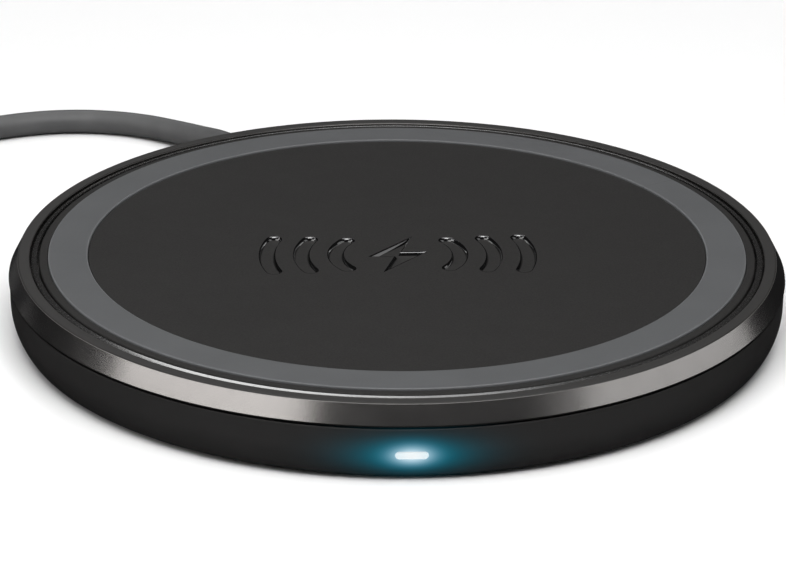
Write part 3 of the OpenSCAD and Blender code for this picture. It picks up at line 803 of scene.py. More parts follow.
# %% [markdown]
# ## The shapes of the charge sign
# A generic sign says where the phone goes: a bolt with three waves on each side, sunk into
# the face. The same flat shapes are used twice, a hair wider to cut the pocket and exact for
# the tray in it. The bolt starts as a circle of six corners that are moved to its outline;
# each wave is half of a small circle's rim, spun through its arc.

# %% Draw the sign flat
SIGN_Y, BOLT_HALF, WAVE_W = -2.6, 1.2, 2.1
BOLT = [(2, 6), (-3.8, -0.8), (-0.5, -0.8), (-2, -6), (3.8, 0.8), (0.5, 0.8)]
WAVES = [(8, 36), (12.4, 25), (16.8, 19)]
POCKET_GAP = 0.02
WAVE_CORNERS, WAVE_STEPS = 16, 18
sign_z = box_mm("emblem")[0].z


def wave(radius, half_angle, width):
    """A flat arc with round ends: half of a disc's rim, spun about the middle of the sign."""
    piece = start(bpy.ops.mesh.primitive_circle_add, "wave", vertices=WAVE_CORNERS,
                  radius=width / 2 * MM, fill_type="NGON", location=(radius * MM, 0, 0))
    pick(fix_place(piece), "EDGE", lambda edge: all(v.co.y > -ON_AXIS for v in edge.verts))
    bpy.ops.mesh.spin(steps=WAVE_STEPS, angle=radians(2 * half_angle), center=(0, 0, 0),
                      axis=(0, 0, -1))
    bpy.ops.mesh.select_mode(type="VERT")
    bpy.ops.mesh.select_all(action="SELECT")
    bpy.ops.mesh.remove_doubles(threshold=MERGE)
    bpy.ops.mesh.normals_make_consistent(inside=False)
    bpy.ops.mesh.dissolve_faces()
    bpy.ops.object.mode_set(mode="OBJECT")
    return move(piece, Matrix.Rotation(radians(-half_angle), 4, "Z"))


def sign_shapes(grow):
    """The bolt and the six waves, flat at the pocket's depth, grown by a gap."""
    bolt = start(bpy.ops.mesh.primitive_circle_add, "bolt", vertices=len(BOLT), radius=MM,
                 fill_type="NGON")
    scale = 1 + grow / BOLT_HALF
    for vertex, (bx, by) in zip(bolt.data.vertices, BOLT):
        vertex.co = (bx * scale * MM, by * scale * MM, 0)
    flat = [bolt]
    for wave_r, half_angle in WAVES:
        arc = wave(wave_r, half_angle, WAVE_W + 2 * grow)
        flat += [arc, copy_of(arc, "wave", Matrix.Rotation(pi, 4, "Z"))]
    return [move(piece, Matrix.Translation((0, SIGN_Y * MM, sign_z * MM))) for piece in flat]


def thicken(piece, height):
    """Extrudes a flat shape upwards and leaves its top faces selected in edit mode."""
    only(piece)
    bpy.ops.object.mode_set(mode="EDIT")
    bpy.ops.mesh.select_mode(type="FACE")
    bpy.ops.mesh.select_all(action="SELECT")
    bpy.ops.mesh.extrude_region_move(TRANSFORM_OT_translate={"value": (0, 0, height * MM)})


def close_up():
    """Turns all faces of the edited piece outwards and goes back to object mode."""
    bpy.ops.mesh.select_all(action="SELECT")
    bpy.ops.mesh.normals_make_consistent(inside=False)
    bpy.ops.object.mode_set(mode="OBJECT")


# %% [markdown]
# The grown shapes are extruded through the face and cut out of the cover one by one.

# %% Cut the pocket for the sign
for shape in sign_shapes(POCKET_GAP):
    thicken(shape, disc_z + 1 - sign_z)
    close_up()
    combine(cover, shape)
smooth(cover, 50)
print(f"cover of {len(cover.data.polygons)} faces, sign {disc_z - sign_z:.2f} mm deep")

# %% [markdown]
# Soft-touch lacquer is almost without gloss, so its specular level is low. Seen close it has
# a fine speckle of two near blacks, which is also a slight relief.

# %% Soft-touch lacquer
soft_touch = Finish("soft_touch", Specular_IOR_Level=0.15)
speck = soft_touch.noise(0.2, detail=4, roughness=0.7)
cloud = soft_touch.noise(14, detail=3)
grey = soft_touch.mix(soft_touch.spread(speck, 0.35, 0.7),
                      (0.012, 0.0115, 0.0112), (0.0245, 0.0235, 0.0228))
soft_touch.look(Base_Color=grey, Roughness=soft_touch.spread(cloud, 0.3, 0.7, 0.56, 0.64),
                Normal=soft_touch.bump(speck, 0.012, 0.5))
fit(cover, soft_touch, "soft_touch", "top_cover")

# %% [markdown]
# ## The grip ring
# A ring of grey silicone sits in the channel and keeps a phone from sliding. It stands a
# quarter of a millimetre proud, with soft edges, and shows the faint line where the moulded
# strip was joined into a ring. A painted highlight makes its rims a little lighter than its
# powdery face.

# %% Spin the grip ring
grip_in_edge = grip_in_r + CHANNEL_GAP
grip_ring = lathe("grip_ring_moulded", [
    (grip_in_edge, channel_z, 0.1), (grip_r, channel_z, 0.1), (grip_r, pad_h, 0.2),
    (grip_in_edge, pad_h, 0.2)])
smooth(grip_ring, 50)

# %% Grey silicone with painted highlights on its rims
JOINT_AT, JOINT_HALF = 31, 0.09
RIM_W, RIM_SHARP = 0.3, 0.12
grip_silicone = Finish("grip_silicone", Specular_IOR_Level=0.3)
x, y, _ = grip_silicone.xyz()
off_joint = (x * sin(radians(JOINT_AT)) - y * cos(radians(JOINT_AT))).one("ABSOLUTE")
joint = (off_joint < JOINT_HALF) * (x > 0)
edge_far = (grip_r - (x * x + y * y) ** 0.5 - GRIP_W / 2 + CHANNEL_GAP).one("ABSOLUTE")
rim_highlight = grip_silicone.spread(edge_far, GRIP_W / 2 - RIM_W, GRIP_W / 2 - RIM_SHARP)
powder = grip_silicone.noise(0.18, detail=3)
cloud = grip_silicone.noise(9, detail=3)
tone = grip_silicone.mix(grip_silicone.spread(cloud, 0.3, 0.7),
                         (0.07, 0.0718, 0.0745), (0.079, 0.081, 0.084))
# Painted highlight: the base colour is lightened towards pale grey along both rims.
tone = grip_silicone.mix(rim_highlight * 0.5, tone, (0.17, 0.174, 0.18))
grip_silicone.look(Base_Color=grip_silicone.mix(joint * 0.4, tone, (0.05, 0.052, 0.054)),
                   Roughness=0.58 + 0.08 * powder,
                   Normal=grip_silicone.bump(powder - joint * 0.5, 0.012, 0.4))
fit(grip_ring, grip_silicone, "grip_silicone", "grip_ring")

# %% [markdown]
# ## The tray of the charge sign
# A polished black tray fills the pocket. Each shape is extruded, and its top is inset three
# times: a narrow rim, a rounded shoulder and a steep wall down to the floor. The shoulder and
# the wall shine; the floor has the lacquer of the face.

# %% Sink the sign
TRAY_RIM, TRAY_FLOOR = 0.05, 0.15
SHOULDER = (0.1, 0.1)
STEEP_WALL = (0.15, disc_z - sign_z - TRAY_FLOOR - SHOULDER[1])
shapes = sign_shapes(0)
for shape in shapes:
    thicken(shape, disc_z - sign_z)
    bpy.ops.mesh.inset(thickness=TRAY_RIM * MM)
    for across, down in (SHOULDER, STEEP_WALL):
        bpy.ops.mesh.inset(thickness=across * MM)
        bpy.ops.transform.translate(value=(0, 0, -down * MM))
    close_up()
deselect()
for shape in shapes:
    shape.select_set(True)
bpy.context.view_layer.objects.active = shapes[0]
bpy.ops.object.join()
charge_sign = shapes[0]
charge_sign.name = charge_sign.data.name = "charge_sign"
print(f"{len(shapes)} trays joined into one sign")

# %% Polish the walls and leave the floors matt
polished_black = polish("polished_black", (0.004, 0.004, 0.004), 0.05)
charge_sign.data.materials.append(polished_black.material)
charge_sign.data.materials.append(soft_touch.material)
floor_top = (sign_z + TRAY_FLOOR + 0.01) * MM
for face in charge_sign.data.polygons:
    is_floor = face.normal.z > 0.98 and face.center.z < floor_top
    face.material_index = 1 if is_floor else 0
smooth(charge_sign, 52)
fit(charge_sign, polished_black, "gloss_black", "emblem")
print(f"sign of {len(charge_sign.data.polygons)} faces")

# %% [markdown]
# ## The light pipe
# A clear bar carries the light of two small diodes to the front of the wall. Its end shows
# as a lit slot with round ends. It is cut from a bar whose long edges are rounded until they
# meet, and its end is bevelled a little, as a moulded lens is.

# %% Shape the light pipe
LENS_ROUND, LENS_RIM = 0.495, 0.12
FLANGE_T, FLANGE_IN, FLANGE_ROUND = 0.9, 0.75, 0.3
pipe_front = -pipe_low.y
pipe_back = -pipe_high.y
pipe_body = round_edges(bar("light_pipe_lens", (SLOT_W, pipe_front - pipe_back, SLOT_H),
                            (0, -(pipe_front + pipe_back) / 2, slot_z)),
                        along(1), LENS_ROUND, LONG_EDGE_STEPS)
flange = round_edges(bar("flange", (pipe_high.x - pipe_low.x, FLANGE_T, pipe_high.z - pipe_low.z),
                         (0, -(wall_in_r - FLANGE_IN), slot_z)), along(1), FLANGE_ROUND, 3)
combine(pipe_body, flange, "UNION")


def front_rim(edge):
    """Picks the edges round the face that shows in the slot."""
    return all(v.co.y < (-pipe_front + 0.001) * MM for v in edge.verts)


round_edges(pipe_body, front_rim, LENS_RIM, 3)
smooth(pipe_body, 40)
print(f"light pipe {pipe_front - pipe_back:.1f} mm long")

# %% [markdown]
# The lens glows almost white in its middle and cooler at its ends, because the diodes sit
# behind the middle. Its colour comes from the place along the slot.

# %% Lit lens
led_lens = Finish("led_lens", Base_Color=(0.4, 0.46, 0.48), Roughness=0.3)
x = led_lens.xyz()[0]
off_middle = (x / (SLOT_W / 2)).one("ABSOLUTE")
core = led_lens.mix(led_lens.spread(off_middle, 0.2, 1.0), (1.0, 1.0, 1.0), (0.72, 0.86, 0.92))
led_lens.look(Emission_Color=core, Emission_Strength=0.5)
fit(pipe_body, led_lens, "light_pipe_clear", "light_pipe")

# %% [markdown]
# ## Feet
# Four rubber feet hold the base half a millimetre off the table and hide the case screws.
# Each is a thin turned disc with a round lip and a shallow ring, which grips as a suction
# cup does. One is spun, and the other three are copies.

# %% Spin one foot and copy it
foot_top = foot_high.z
first_foot = lathe("rubber_foot_1", [
    (0, 0.18, 0), (1.8, 0.18, 0.1), (2.1, 0, 0.1), (2.7, 0, 0.1), (2.95, 0.15, 0.08),
    (3.3, 0.15, 0.08), (3.55, 0, 0.1), (FOOT_R, 0, 0.25), (FOOT_R, foot_top, 0.05),
    (0, foot_top, 0)], steps=72)
smooth(first_foot, 45)

# %% Rubber, and a foot over each screw
foot_rubber = Finish("foot_rubber", Base_Color=(0.018, 0.018, 0.018), Specular_IOR_Level=0.3)
grit = foot_rubber.noise(0.15, detail=3)
foot_rubber.look(Roughness=0.7 + 0.15 * grit, Normal=foot_rubber.bump(grit, 0.03, 0.5))
first_foot.data.materials.append(foot_rubber.material)


def to_foot(angle):
    """Moves a foot from the middle of the pad to its place."""
    x_mm, y_mm = around(case_at, angle)
    return Matrix.Translation((x_mm * MM, y_mm * MM, 0))


feet = [copy_of(first_foot, f"rubber_foot_{i}", to_foot(angle))
        for i, angle in enumerate(CASE_ANGLES[1:], 2)]
move(first_foot, to_foot(CASE_ANGLES[0]))
for foot in [first_foot, *feet]:
    fit(foot, foot_rubber, "foot_rubber", "rubber_feet")

# %% [markdown]
# ## The strain relief
# The cable leaves through a short tapered sleeve of soft black plastic. Its flange is
# trapped inside the wall, and its rounded rings let it bend a little at a time. The rings
# are corners in its section, so the lathe makes them all at once.

# %% Spin the sleeve
CABLE_R = CABLE_D / MM / 2
BORE_R = CABLE_R + 0.02
RELIEF_LEN, RELIEF_TIP, RELIEF_BACK = 8, CABLE_R + 0.45, 1.8
RINGS, FIRST_RING, LAST_LAND = 4, 0.8, 0.6
SLEEVE_STEPS = 64


def groove(ring_r, level, corners):
    """Corners of one groove: each is an offset from its first edge, outwards and along."""
    return [(ring_r + outwards, level + onwards, fillet) for outwards, onwards, fillet in corners]


relief_back = wall_in_r - RELIEF_BACK
pitch = RELIEF_LEN / (RINGS + LAST_LAND)
lean = (RELIEF_R - RELIEF_TIP) / RELIEF_LEN
relief_groove = ((0, 0, 0.16), (-0.32, 0.2, 0.1), (-0.36, 0.75, 0.1), (-lean * 0.95, 0.95, 0.16))
section = [(BORE_R, relief_back, 0), (RELIEF_R, relief_back, 0.1)]
for i in range(RINGS):
    from_wall = FIRST_RING + i * pitch
    section += groove(RELIEF_R - lean * from_wall, wall_r + from_wall, relief_groove)
section += [(RELIEF_TIP, wall_r + RELIEF_LEN, 0.3), (BORE_R, wall_r + RELIEF_LEN, 0)]
relief = move(lathe("strain_relief_sleeve", section, steps=SLEEVE_STEPS), out)
print(f"sleeve {RELIEF_LEN} mm long outside the wall")

# %% [markdown]
# The flange is a rounded plate with a bore, fused on to the sleeve inside the wall.

# %% Fuse the flange on to the sleeve
PLATE_T, PLATE_W, PLATE_H, PLATE_ROUND, PLATE_UP = 1.4, 8, 4, 0.5, 2.02
plate = round_edges(bar("flange", (PLATE_T, PLATE_W, PLATE_H), (relief_back + PLATE_T / 2, 0, 0)),
                    along(0), PLATE_ROUND, 3)
plate_bore = rod("bore", (CABLE_R + RELIEF_R) / 2, relief_back - 1, relief_back + 4,
                 sides=SLEEVE_STEPS)
move(plate_bore, Matrix.Rotation(pi / 2, 4, "Y"))
combine(plate, plate_bore)
move(plate, Matrix.Rotation(exit_turn, 4, "Z")
     @ Matrix.Translation((0, 0, (floor_z + PLATE_UP) * MM)))
combine(relief, plate, "UNION")
smooth(relief, 45)
print(f"sleeve with its flange: {len(relief.data.polygons)} faces")

# %% [markdown]
# Sleeve and cable are both soft black plastic. The sleeve has the dull bloom of moulded
# rubber. The cable's jacket is drawn, so it is smoother, with a faint waviness and a soft
# broad highlight along its upper side.

# %% Sleeve rubber and cable jacket
relief_rubber = spark_texture("relief_rubber", (0.022, 0.022, 0.022), 0.3, 0.02, 0.6)
fit(relief, relief_rubber, "relief_rubber", "strain_relief")
cable_jacket = Finish("cable_jacket", Specular_IOR_Level=0.4)
grain = cable_jacket.noise(0.35, detail=3)
wave_noise = cable_jacket.noise(3.5, detail=2)
jacket = cable_jacket.mix(cable_jacket.spread(wave_noise, 0.3, 0.7),
                          (0.078, 0.078, 0.079), (0.095, 0.095, 0.096))
cable_jacket.look(Base_Color=jacket, Roughness=0.46 + 0.1 * grain,
                  Normal=cable_jacket.bump(0.6 * wave_noise + 0.4 * grain, 0.03, 0.35))
fit(cable, cable_jacket, "cable_jacket", "cable_run", "cable_coil", "cable_tail")

# %% [markdown]
# ## The tie
# A strap of hook-and-loop tape holds the coil. It is a flat band bent round the bundle with
# its end lapped over on top. The band starts as a bar of the bundle's outline with rounded
# edges, its two open sides are deleted, and a Solidify modifier gives it its thickness.

# %% Wrap the strap round the coil
STRAP_W, BAND_T = 7.2, 0.7
BUNDLE_TURNS = 5.5
BUNDLE_MID = BUNDLE_TURNS * CABLE_D / MM
TIE_LONG, TIE_TALL, TIE_ROUND = 18.05, 8.5, 2.2
tie_place = (Matrix.Translation((*COIL_AT, 0)) @ Matrix.Rotation(radians(TIE_AT), 4, "Z")
             @ Matrix.Translation((BUNDLE_MID * MM, 0, 0)))
strap = round_edges(bar("hook_and_loop_tie", (TIE_LONG, STRAP_W, TIE_TALL), (0, 0, TIE_TALL / 2)),
                    along(1), TIE_ROUND, LONG_EDGE_STEPS)
break_edges(sheet_tube(strap, 1, BAND_T), 0.12)
smooth(strap, 50)
print(f"strap {STRAP_W} mm wide round a bundle {TIE_LONG - 2 * BAND_T:.1f} mm wide")

# %% Lap the strap's end
LAP_LONG, LAP_T, LAP_ROUND = 9, 0.55, 1.6
LAP_AT, LAP_SINK = 3.2, 0.28
lap = bar("lap", (LAP_LONG, STRAP_W, LAP_T), (LAP_AT, 0, TIE_TALL - LAP_SINK))
round_edges(lap, along(2), LAP_ROUND, 6)
combine(strap, lap, "UNION")
move(strap, tie_place)
print("strap lapped on top of the coil")

# %% [markdown]
# The tape is a dense fabric of fine loops: seen close, a soft mat of short fibres over a
# ribbed weave. A checker of two waves across the plan gives the weave, noise breaks it up,
# and sheen gives the light fuzz of cut loops.

# %% Loop fabric
tie_fabric = Finish("tie_fabric", Specular_IOR_Level=0.2, Sheen_Weight=0.25, Sheen_Roughness=0.5)
x, y, _ = tie_fabric.xyz()
RIBS = 9
weave = (x * RIBS).one("SINE") * (y * RIBS).one("SINE") * 0.5 + 0.5
fuzz = tie_fabric.noise(0.25, detail=4, roughness=0.7)
loops = 0.5 * weave + 0.5 * fuzz
thread = tie_fabric.mix(loops, (0.006, 0.006, 0.007), (0.03, 0.03, 0.032))
tie_fabric.look(Base_Color=thread, Roughness=0.9, Normal=tie_fabric.bump(loops, 0.08, 0.8))
fit(strap, tie_fabric, "tie_fabric", "cable_tie")

# %% [markdown]
# ## The plug
# The far end is a standard USB plug. It is modelled lying along the X axis, where its
# measures are easy to read, and then placed where the cable ends. The overmould is a bar
# with rounded long edges; a row of finger grooves is cut in each side, and a shallow oval
# thumb rest in each face. Its boot is spun with rings, like the strain relief.

# %% Grip of the plug
BOOT_LEN, PLUG_LEN, PLUG_W, PLUG_T = 8, 25, 15.5, 8
PLUG_ROUND, PLUG_END_ROUND = 2.0, 0.6
GRIP_LINES, LINE_PITCH, LINE_R, LINES_FROM, LINE_OUT = 5, 2.4, 0.55, 5, 0.12
REST_HALF, REST_FROM, REST_OUT = (7, 4.5, 1), 11, 0.55
PLUG_TURN = atan2(-5, 2)
plug_place = (Matrix.Translation((TAIL[-1][0], TAIL[-1][1], PLUG_T / 2 * MM))
              @ Matrix.Rotation(PLUG_TURN, 4, "Z"))
lie_down = Matrix.Rotation(pi / 2, 4, "Y")

overmould = round_edges(bar("plug_overmould_grip", (PLUG_LEN, PLUG_W, PLUG_T),
                            (BOOT_LEN + PLUG_LEN / 2, 0, 0)), along(0), PLUG_ROUND, 6)


def plug_ends(edge):
    """Picks the edges that lie across the plug, round its two ends."""
    return all(abs(v.co.x - edge.verts[0].co.x) < MERGE for v in edge.verts)


round_edges(overmould, plug_ends, PLUG_END_ROUND, 3)
for i in range(GRIP_LINES):
    for side in (-1, 1):
        at = (BOOT_LEN + LINES_FROM + LINE_PITCH * i, side * (PLUG_W / 2 + LINE_OUT))
        combine(overmould, rod("groove", LINE_R, -PLUG_T, PLUG_T, at, 16))
for side in (-1, 1):
    rest = start(bpy.ops.mesh.primitive_uv_sphere_add, "thumb rest", segments=48,
                 ring_count=24, radius=1)
    rest.scale = [v * MM for v in REST_HALF]
    rest.location = ((BOOT_LEN + REST_FROM) * MM, 0, side * (PLUG_T / 2 + REST_OUT) * MM)
    combine(overmould, fix_place(rest))
print(f"grip with {GRIP_LINES} grooves a side")

# %% Boot and mouth of the plug
BOOT_RINGS, BOOT_PITCH, BOOT_FIRST, BOOT_STEPS = 4, 1.65, 1.1, 48
BOOT_GROOVE = ((0, 0, 0.12), (-0.25, 0.15, 0.08), (-0.22, 0.65, 0.08), (0.05, 0.8, 0.12))
BOOT_TIP_MORE, BOOT_ROOT_MORE = 0.7, 1.6
MOUTH_SIZE, MOUTH_IN = (4.2, 12.04, 4.54), 1.9
boot_tip = (CABLE_D / MM + BOOT_TIP_MORE) / 2
boot_root = (CABLE_D / MM + BOOT_ROOT_MORE) / 2
section = [(BORE_R, 0, 0), (boot_tip, 0, 0.2)]
for i in range(BOOT_RINGS):
    level = BOOT_FIRST + BOOT_PITCH * i
    section += groove(boot_tip + (boot_root - boot_tip) * level / BOOT_LEN, level, BOOT_GROOVE)
section += [(boot_root, BOOT_LEN + 1, 0), (BORE_R, BOOT_LEN + 1, 0)]
boot = move(lathe("boot", section, steps=BOOT_STEPS), lie_down)
combine(overmould, boot, "UNION")
combine(overmould, bar("mouth", MOUTH_SIZE, (BOOT_LEN + PLUG_LEN - MOUTH_IN, 0, 0)))
smooth(overmould, 40)
move(overmould, plug_place)
plug_plastic = spark_texture("plug_plastic", (0.02, 0.02, 0.021), 0.3, 0.02, 0.5)
fit(overmould, plug_plastic, "plug_plastic", "plug_overmould")

# %% [markdown]
# The metal shell is folded from one sheet, so it has a thin even wall, rounded corners and a
# seam. A bar with rounded long edges loses its two ends, a Solidify modifier gives it its
# wall, and two windows are cut through both faces for the latches of the socket.

# %% Fold the shell
SHELL_W, SHELL_H, SHELL_WALL = 12, 4.5, 0.3
SHELL_SUNK, SHELL_OUT = 4, 13
SHELL_FROM, SHELL_TO = BOOT_LEN + PLUG_LEN - SHELL_SUNK, BOOT_LEN + PLUG_LEN + SHELL_OUT
SHELL_ROUND, SEAM_W, SEAM_T = 0.6, 0.08, 0.2
WINDOW_W, WINDOW_L, WINDOW_AT, WINDOW_PITCH = 2.5, 2.2, 6.2, 5
shell_mid = (SHELL_FROM + SHELL_TO) / 2
shell = round_edges(bar("plug_shell_folded", (SHELL_TO - SHELL_FROM, SHELL_W, SHELL_H),
                        (shell_mid, 0, 0)), along(0), SHELL_ROUND)
sheet_tube(shell, 0, SHELL_WALL)
for side in (-1, 1):
    window = bar("window", (WINDOW_L, WINDOW_W, 2 * SHELL_H),
                 (BOOT_LEN + PLUG_LEN + WINDOW_AT + WINDOW_L / 2, side * WINDOW_PITCH / 2, 0))
    combine(shell, window)
combine(shell, bar("seam", (SHELL_TO - SHELL_FROM + 2, SEAM_W, SEAM_T),
                   (shell_mid, 0, -SHELL_H / 2)))
break_edges(shell, 0.06)
smooth(shell, 40)
move(shell, plug_place)
print(f"shell {SHELL_TO - SHELL_FROM} mm long, with a wall of {SHELL_WALL} mm")

# %% [markdown]
# Inside the shell a plastic tongue stands on a back wall and carries four gilt contacts. One
# contact is shaped and copied to the other three places.

# %% Tongue and contacts
TONGUE_SIZE, TONGUE_AT, TONGUE_UP = (16.6, 11.3, 1.9), 8.35, 1.1
BACK_SIZE, BACK_AT = (3, 11.3, 3.8), 1.52
CONTACT_SIZE, CONTACT_FROM, CONTACT_UP, CONTACT_ROUND = (8.5, 1, 0.2), 7.6, 0.1, 0.09
CONTACTS_AT = (-3.5, -1, 1, 3.5)
tongue = combine(bar("plug_tongue_moulded", TONGUE_SIZE, (SHELL_FROM + TONGUE_AT, 0, TONGUE_UP)),
                 bar("back wall", BACK_SIZE, (SHELL_FROM + BACK_AT, 0, 0)), "UNION")
break_edges(tongue, 0.15)
smooth(tongue, 40)
move(tongue, plug_place)
contact = round_edges(bar("plug_contact_1", CONTACT_SIZE,
                          (BOOT_LEN + PLUG_LEN + CONTACT_FROM, 0, CONTACT_UP)),
                      along(1), CONTACT_ROUND, 2)
smooth(contact, 40)
contacts = [contact] + [copy_of(contact, f"plug_contact_{i}", Matrix.Translation((0, y_mm * MM, 0)))
                        for i, y_mm in enumerate(CONTACTS_AT[1:], 2)]
move(contact, Matrix.Translation((0, CONTACTS_AT[0] * MM, 0)))
for piece in contacts:
    move(piece, plug_place)
print(f"tongue with {len(contacts)} contacts")

# %% [markdown]
# Three finishes go on the plug: bright steel that is brushed and a little worn, off-white
# moulded plastic and polished gold.

# %% Steel, insert and gold
plug_steel = Finish("plug_steel", Metallic=1.0, Base_Color=(0.62, 0.62, 0.63))
brushed = plug_steel.noise(0.3, detail=3)
worn = plug_steel.noise(2.2, detail=3)
plug_steel.look(Roughness=0.2 + 0.12 * worn, Normal=plug_steel.bump(brushed, 0.004, 0.4))
fit(shell, plug_steel, "plug_steel", "plug_shell")
plug_insert = Finish("plug_insert", Base_Color=(0.5, 0.5, 0.48), Roughness=0.45)
plug_insert.look(Normal=plug_insert.bump(plug_insert.noise(0.3), 0.01, 0.4))
fit(tongue, plug_insert, "plug_insert", "plug_tongue")
gold = Finish("contact_gold", Metallic=1.0, Base_Color=(0.83, 0.6, 0.25))
gold.look(Roughness=0.2 + 0.15 * gold.noise(0.5))
for piece in contacts:
    fit(piece, gold, "contact_gold", "plug_contacts")

# %% [markdown]
# Its length is that of the real lead.

print(f"cable declared with {5 + len(contacts)} pieces on it")

# %% [markdown]
# ## The charging coil
# Under the cover lies a flat spiral of litz wire: many thin enamelled strands twisted into
# one. It is a curve with a round bevel, turned into a mesh, so each turn has a true round
# section. The twist shows as slanted bright strands, drawn from how far a point is round
# the coil and how high it is on the wire.

# %% Wind the coil
LITZ_D, LITZ_GAP, LITZ_STEPS = 1.05, 0.1, 3
COIL_TURNS, COIL_IN_R, COIL_FIRST_TURN, TURN_POINTS = 10, 10.25, 205, 32
wind_low, wind_high = box_mm("charging_coil")
wind_mid_z = (wind_low.z + wind_high.z) / 2
litz_pitch = LITZ_D + LITZ_GAP
first_r = COIL_IN_R + LITZ_D / 2
winding = bpy.data.curves.new("charging_coil_wound", "CURVE")
winding.dimensions = "3D"
turn_line = winding.splines.new("POLY")
count = COIL_TURNS * TURN_POINTS
turn_line.points.add(count)
for i in range(count + 1):
    at = around(first_r + litz_pitch * i / TURN_POINTS, COIL_FIRST_TURN + 360 * i / TURN_POINTS)
    turn_line.points[i].co = (at[0] * MM, at[1] * MM, wind_mid_z * MM, 1)
winding.bevel_depth = LITZ_D / 2 * MM
winding.bevel_resolution = LITZ_STEPS
winding.use_fill_caps = True
wound = bpy.data.objects.new("charging_coil_wound", winding)
bpy.context.scene.collection.objects.link(wound)
only(wound)
bpy.ops.object.convert(target="MESH")
coil = bpy.context.object
smooth(coil, 50)
print(f"coil of {COIL_TURNS} turns, {len(coil.data.polygons)} faces")

# %% Litz wire
STRANDS_ROUND, STRANDS_UP = 160, 9
litz_copper = Finish("litz_copper", Metallic=1.0)
x, y, z = litz_copper.xyz()
round_coil = y.maths("ARCTAN2", y, x)
strands = (round_coil * STRANDS_ROUND + z * STRANDS_UP).one("SINE") * 0.5 + 0.5
enamel = litz_copper.noise(1.2, detail=3)
copper = litz_copper.mix(0.6 * strands + 0.4 * enamel, (0.36, 0.12, 0.045), (0.74, 0.34, 0.16))
litz_copper.look(Base_Color=copper, Roughness=0.28 + 0.15 * enamel,
                 Normal=litz_copper.bump(strands, 0.06, 0.8))
fit(coil, litz_copper, "litz_copper", "charging_coil")

# %% [markdown]
# ## Finishes inside the pad
# The other inner pieces have the right shape in the model already, so they keep it and get
# the finish of the real part. The stack under the coil comes first: dull sintered ferrite, a
# papery adhesive pad, and the cast glass of the heat sensor.

# %% Finishes of the charging stack


def dress(node, finish):
    """Gives a CAD node a finish in each of its material slots."""
    for slot_of_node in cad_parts[node].material_slots:
        slot_of_node.material = finish.material
    print(f"{node}: {finish.material.name}")


ferrite = Finish("ferrite", Specular_IOR_Level=0.45)
sinter = ferrite.noise(0.25, detail=4, roughness=0.7)
ferrite.look(Base_Color=ferrite.mix(sinter, (0.03, 0.03, 0.033), (0.075, 0.075, 0.08)),
             Roughness=0.5 + 0.2 * sinter, Normal=ferrite.bump(sinter, 0.03, 0.6))
adhesive = Finish("adhesive", Roughness=0.75)
fibre = adhesive.noise(0.5, detail=4)
adhesive.look(Base_Color=adhesive.mix(fibre, (0.62, 0.58, 0.47), (0.8, 0.77, 0.68)),
              Normal=adhesive.bump(fibre, 0.03, 0.5))
bead_glass = Finish("sensor_glass", Coat_Weight=0.6)
cast = bead_glass.noise(0.6)
bead_glass.look(Base_Color=bead_glass.mix(cast, (0.5, 0.36, 0.12), (0.62, 0.5, 0.22)),
                Roughness=0.3 + 0.1 * cast)
dress("coil_leads", litz_copper)
dress("ferrite_disc", ferrite)
dress("adhesive_disc", adhesive)
dress("thermistor", bead_glass)

# %% [markdown]
# A board is green lacquer over copper tracks. The tracks are even lines, broken into lengths
# and left out in some of the cells of a Voronoi pattern, so that they look routed.

# %% Board lacquer with tracks under it
TRACK_PITCH, TRACK_CELL, TRACK_LEN = 1.1, 7, 9
board_laminate = Finish("board_laminate", Specular_IOR_Level=0.5)
x, y, _ = board_laminate.xyz()
cells = board_laminate.node(
    "ShaderNodeTexVoronoi", {"feature": "F1"},
    {"Vector": board_laminate.place, "Scale": 1 / (TRACK_CELL * MM)}, "Color")
chosen = board_laminate.node("ShaderNodeSeparateColor", None, {0: cells})
lines = (y * (tau / TRACK_PITCH)).one("SINE") > 0.55
copper_under = lines * (chosen > 0.5) * ((x / TRACK_LEN).one("FRACT") > 0.12)
weave_noise = board_laminate.noise(0.5, detail=2)
lacquer = board_laminate.mix(weave_noise, (0.012, 0.085, 0.03), (0.018, 0.11, 0.042))
board_laminate.look(Base_Color=board_laminate.mix(copper_under, lacquer, (0.04, 0.2, 0.07)),
                    Roughness=0.32 + 0.12 * weave_noise,
                    Normal=board_laminate.bump(copper_under, 0.03, 0.6))
dress("main_board", board_laminate)

# %% [markdown]
# A chip is one CAD node, body and legs together. The finish tells them apart by place: black
# epoxy over the body, with the dot that marks the first leg, and tin on what stands out.

# %% Chips with tinned legs
TIN, EPOXY_DARK = (0.66, 0.66, 0.67), (0.012, 0.012, 0.012)
DOT_R, DOT_AT = 0.3, 0.36
BRIDGE_Y, BRIDGE_HALF = -2, 2.01


def chip(name, middle, size):
    """Black epoxy over the body of a chip and tin on what stands out at its sides."""
    made = Finish(name, Specular_IOR_Level=0.4)
    cx, cy, _ = made.xyz()
    in_x = (cx - middle[0]).one("ABSOLUTE") < size[0] / 2 + 0.01
    in_y = (cy - middle[1]).one("ABSOLUTE") < size[1] / 2 + 0.01
    body = in_x * in_y
    grain = made.noise(0.12, detail=3)
    dot_x = cx - middle[0] + size[0] * DOT_AT
    dot_y = cy - middle[1] - size[1] * DOT_AT
    dot = (dot_x ** 2 + dot_y ** 2) ** 0.5 < DOT_R
    epoxy = made.mix(grain, EPOXY_DARK, (0.03, 0.03, 0.03))
    epoxy = made.mix(dot, epoxy, (0.09, 0.09, 0.09))
    made.look(Base_Color=made.mix(body, TIN, epoxy), Metallic=1 - body,
              Roughness=0.3 + 0.28 * body, Normal=made.bump(grain - 0.6 * dot, 0.02, 0.5))
    return made


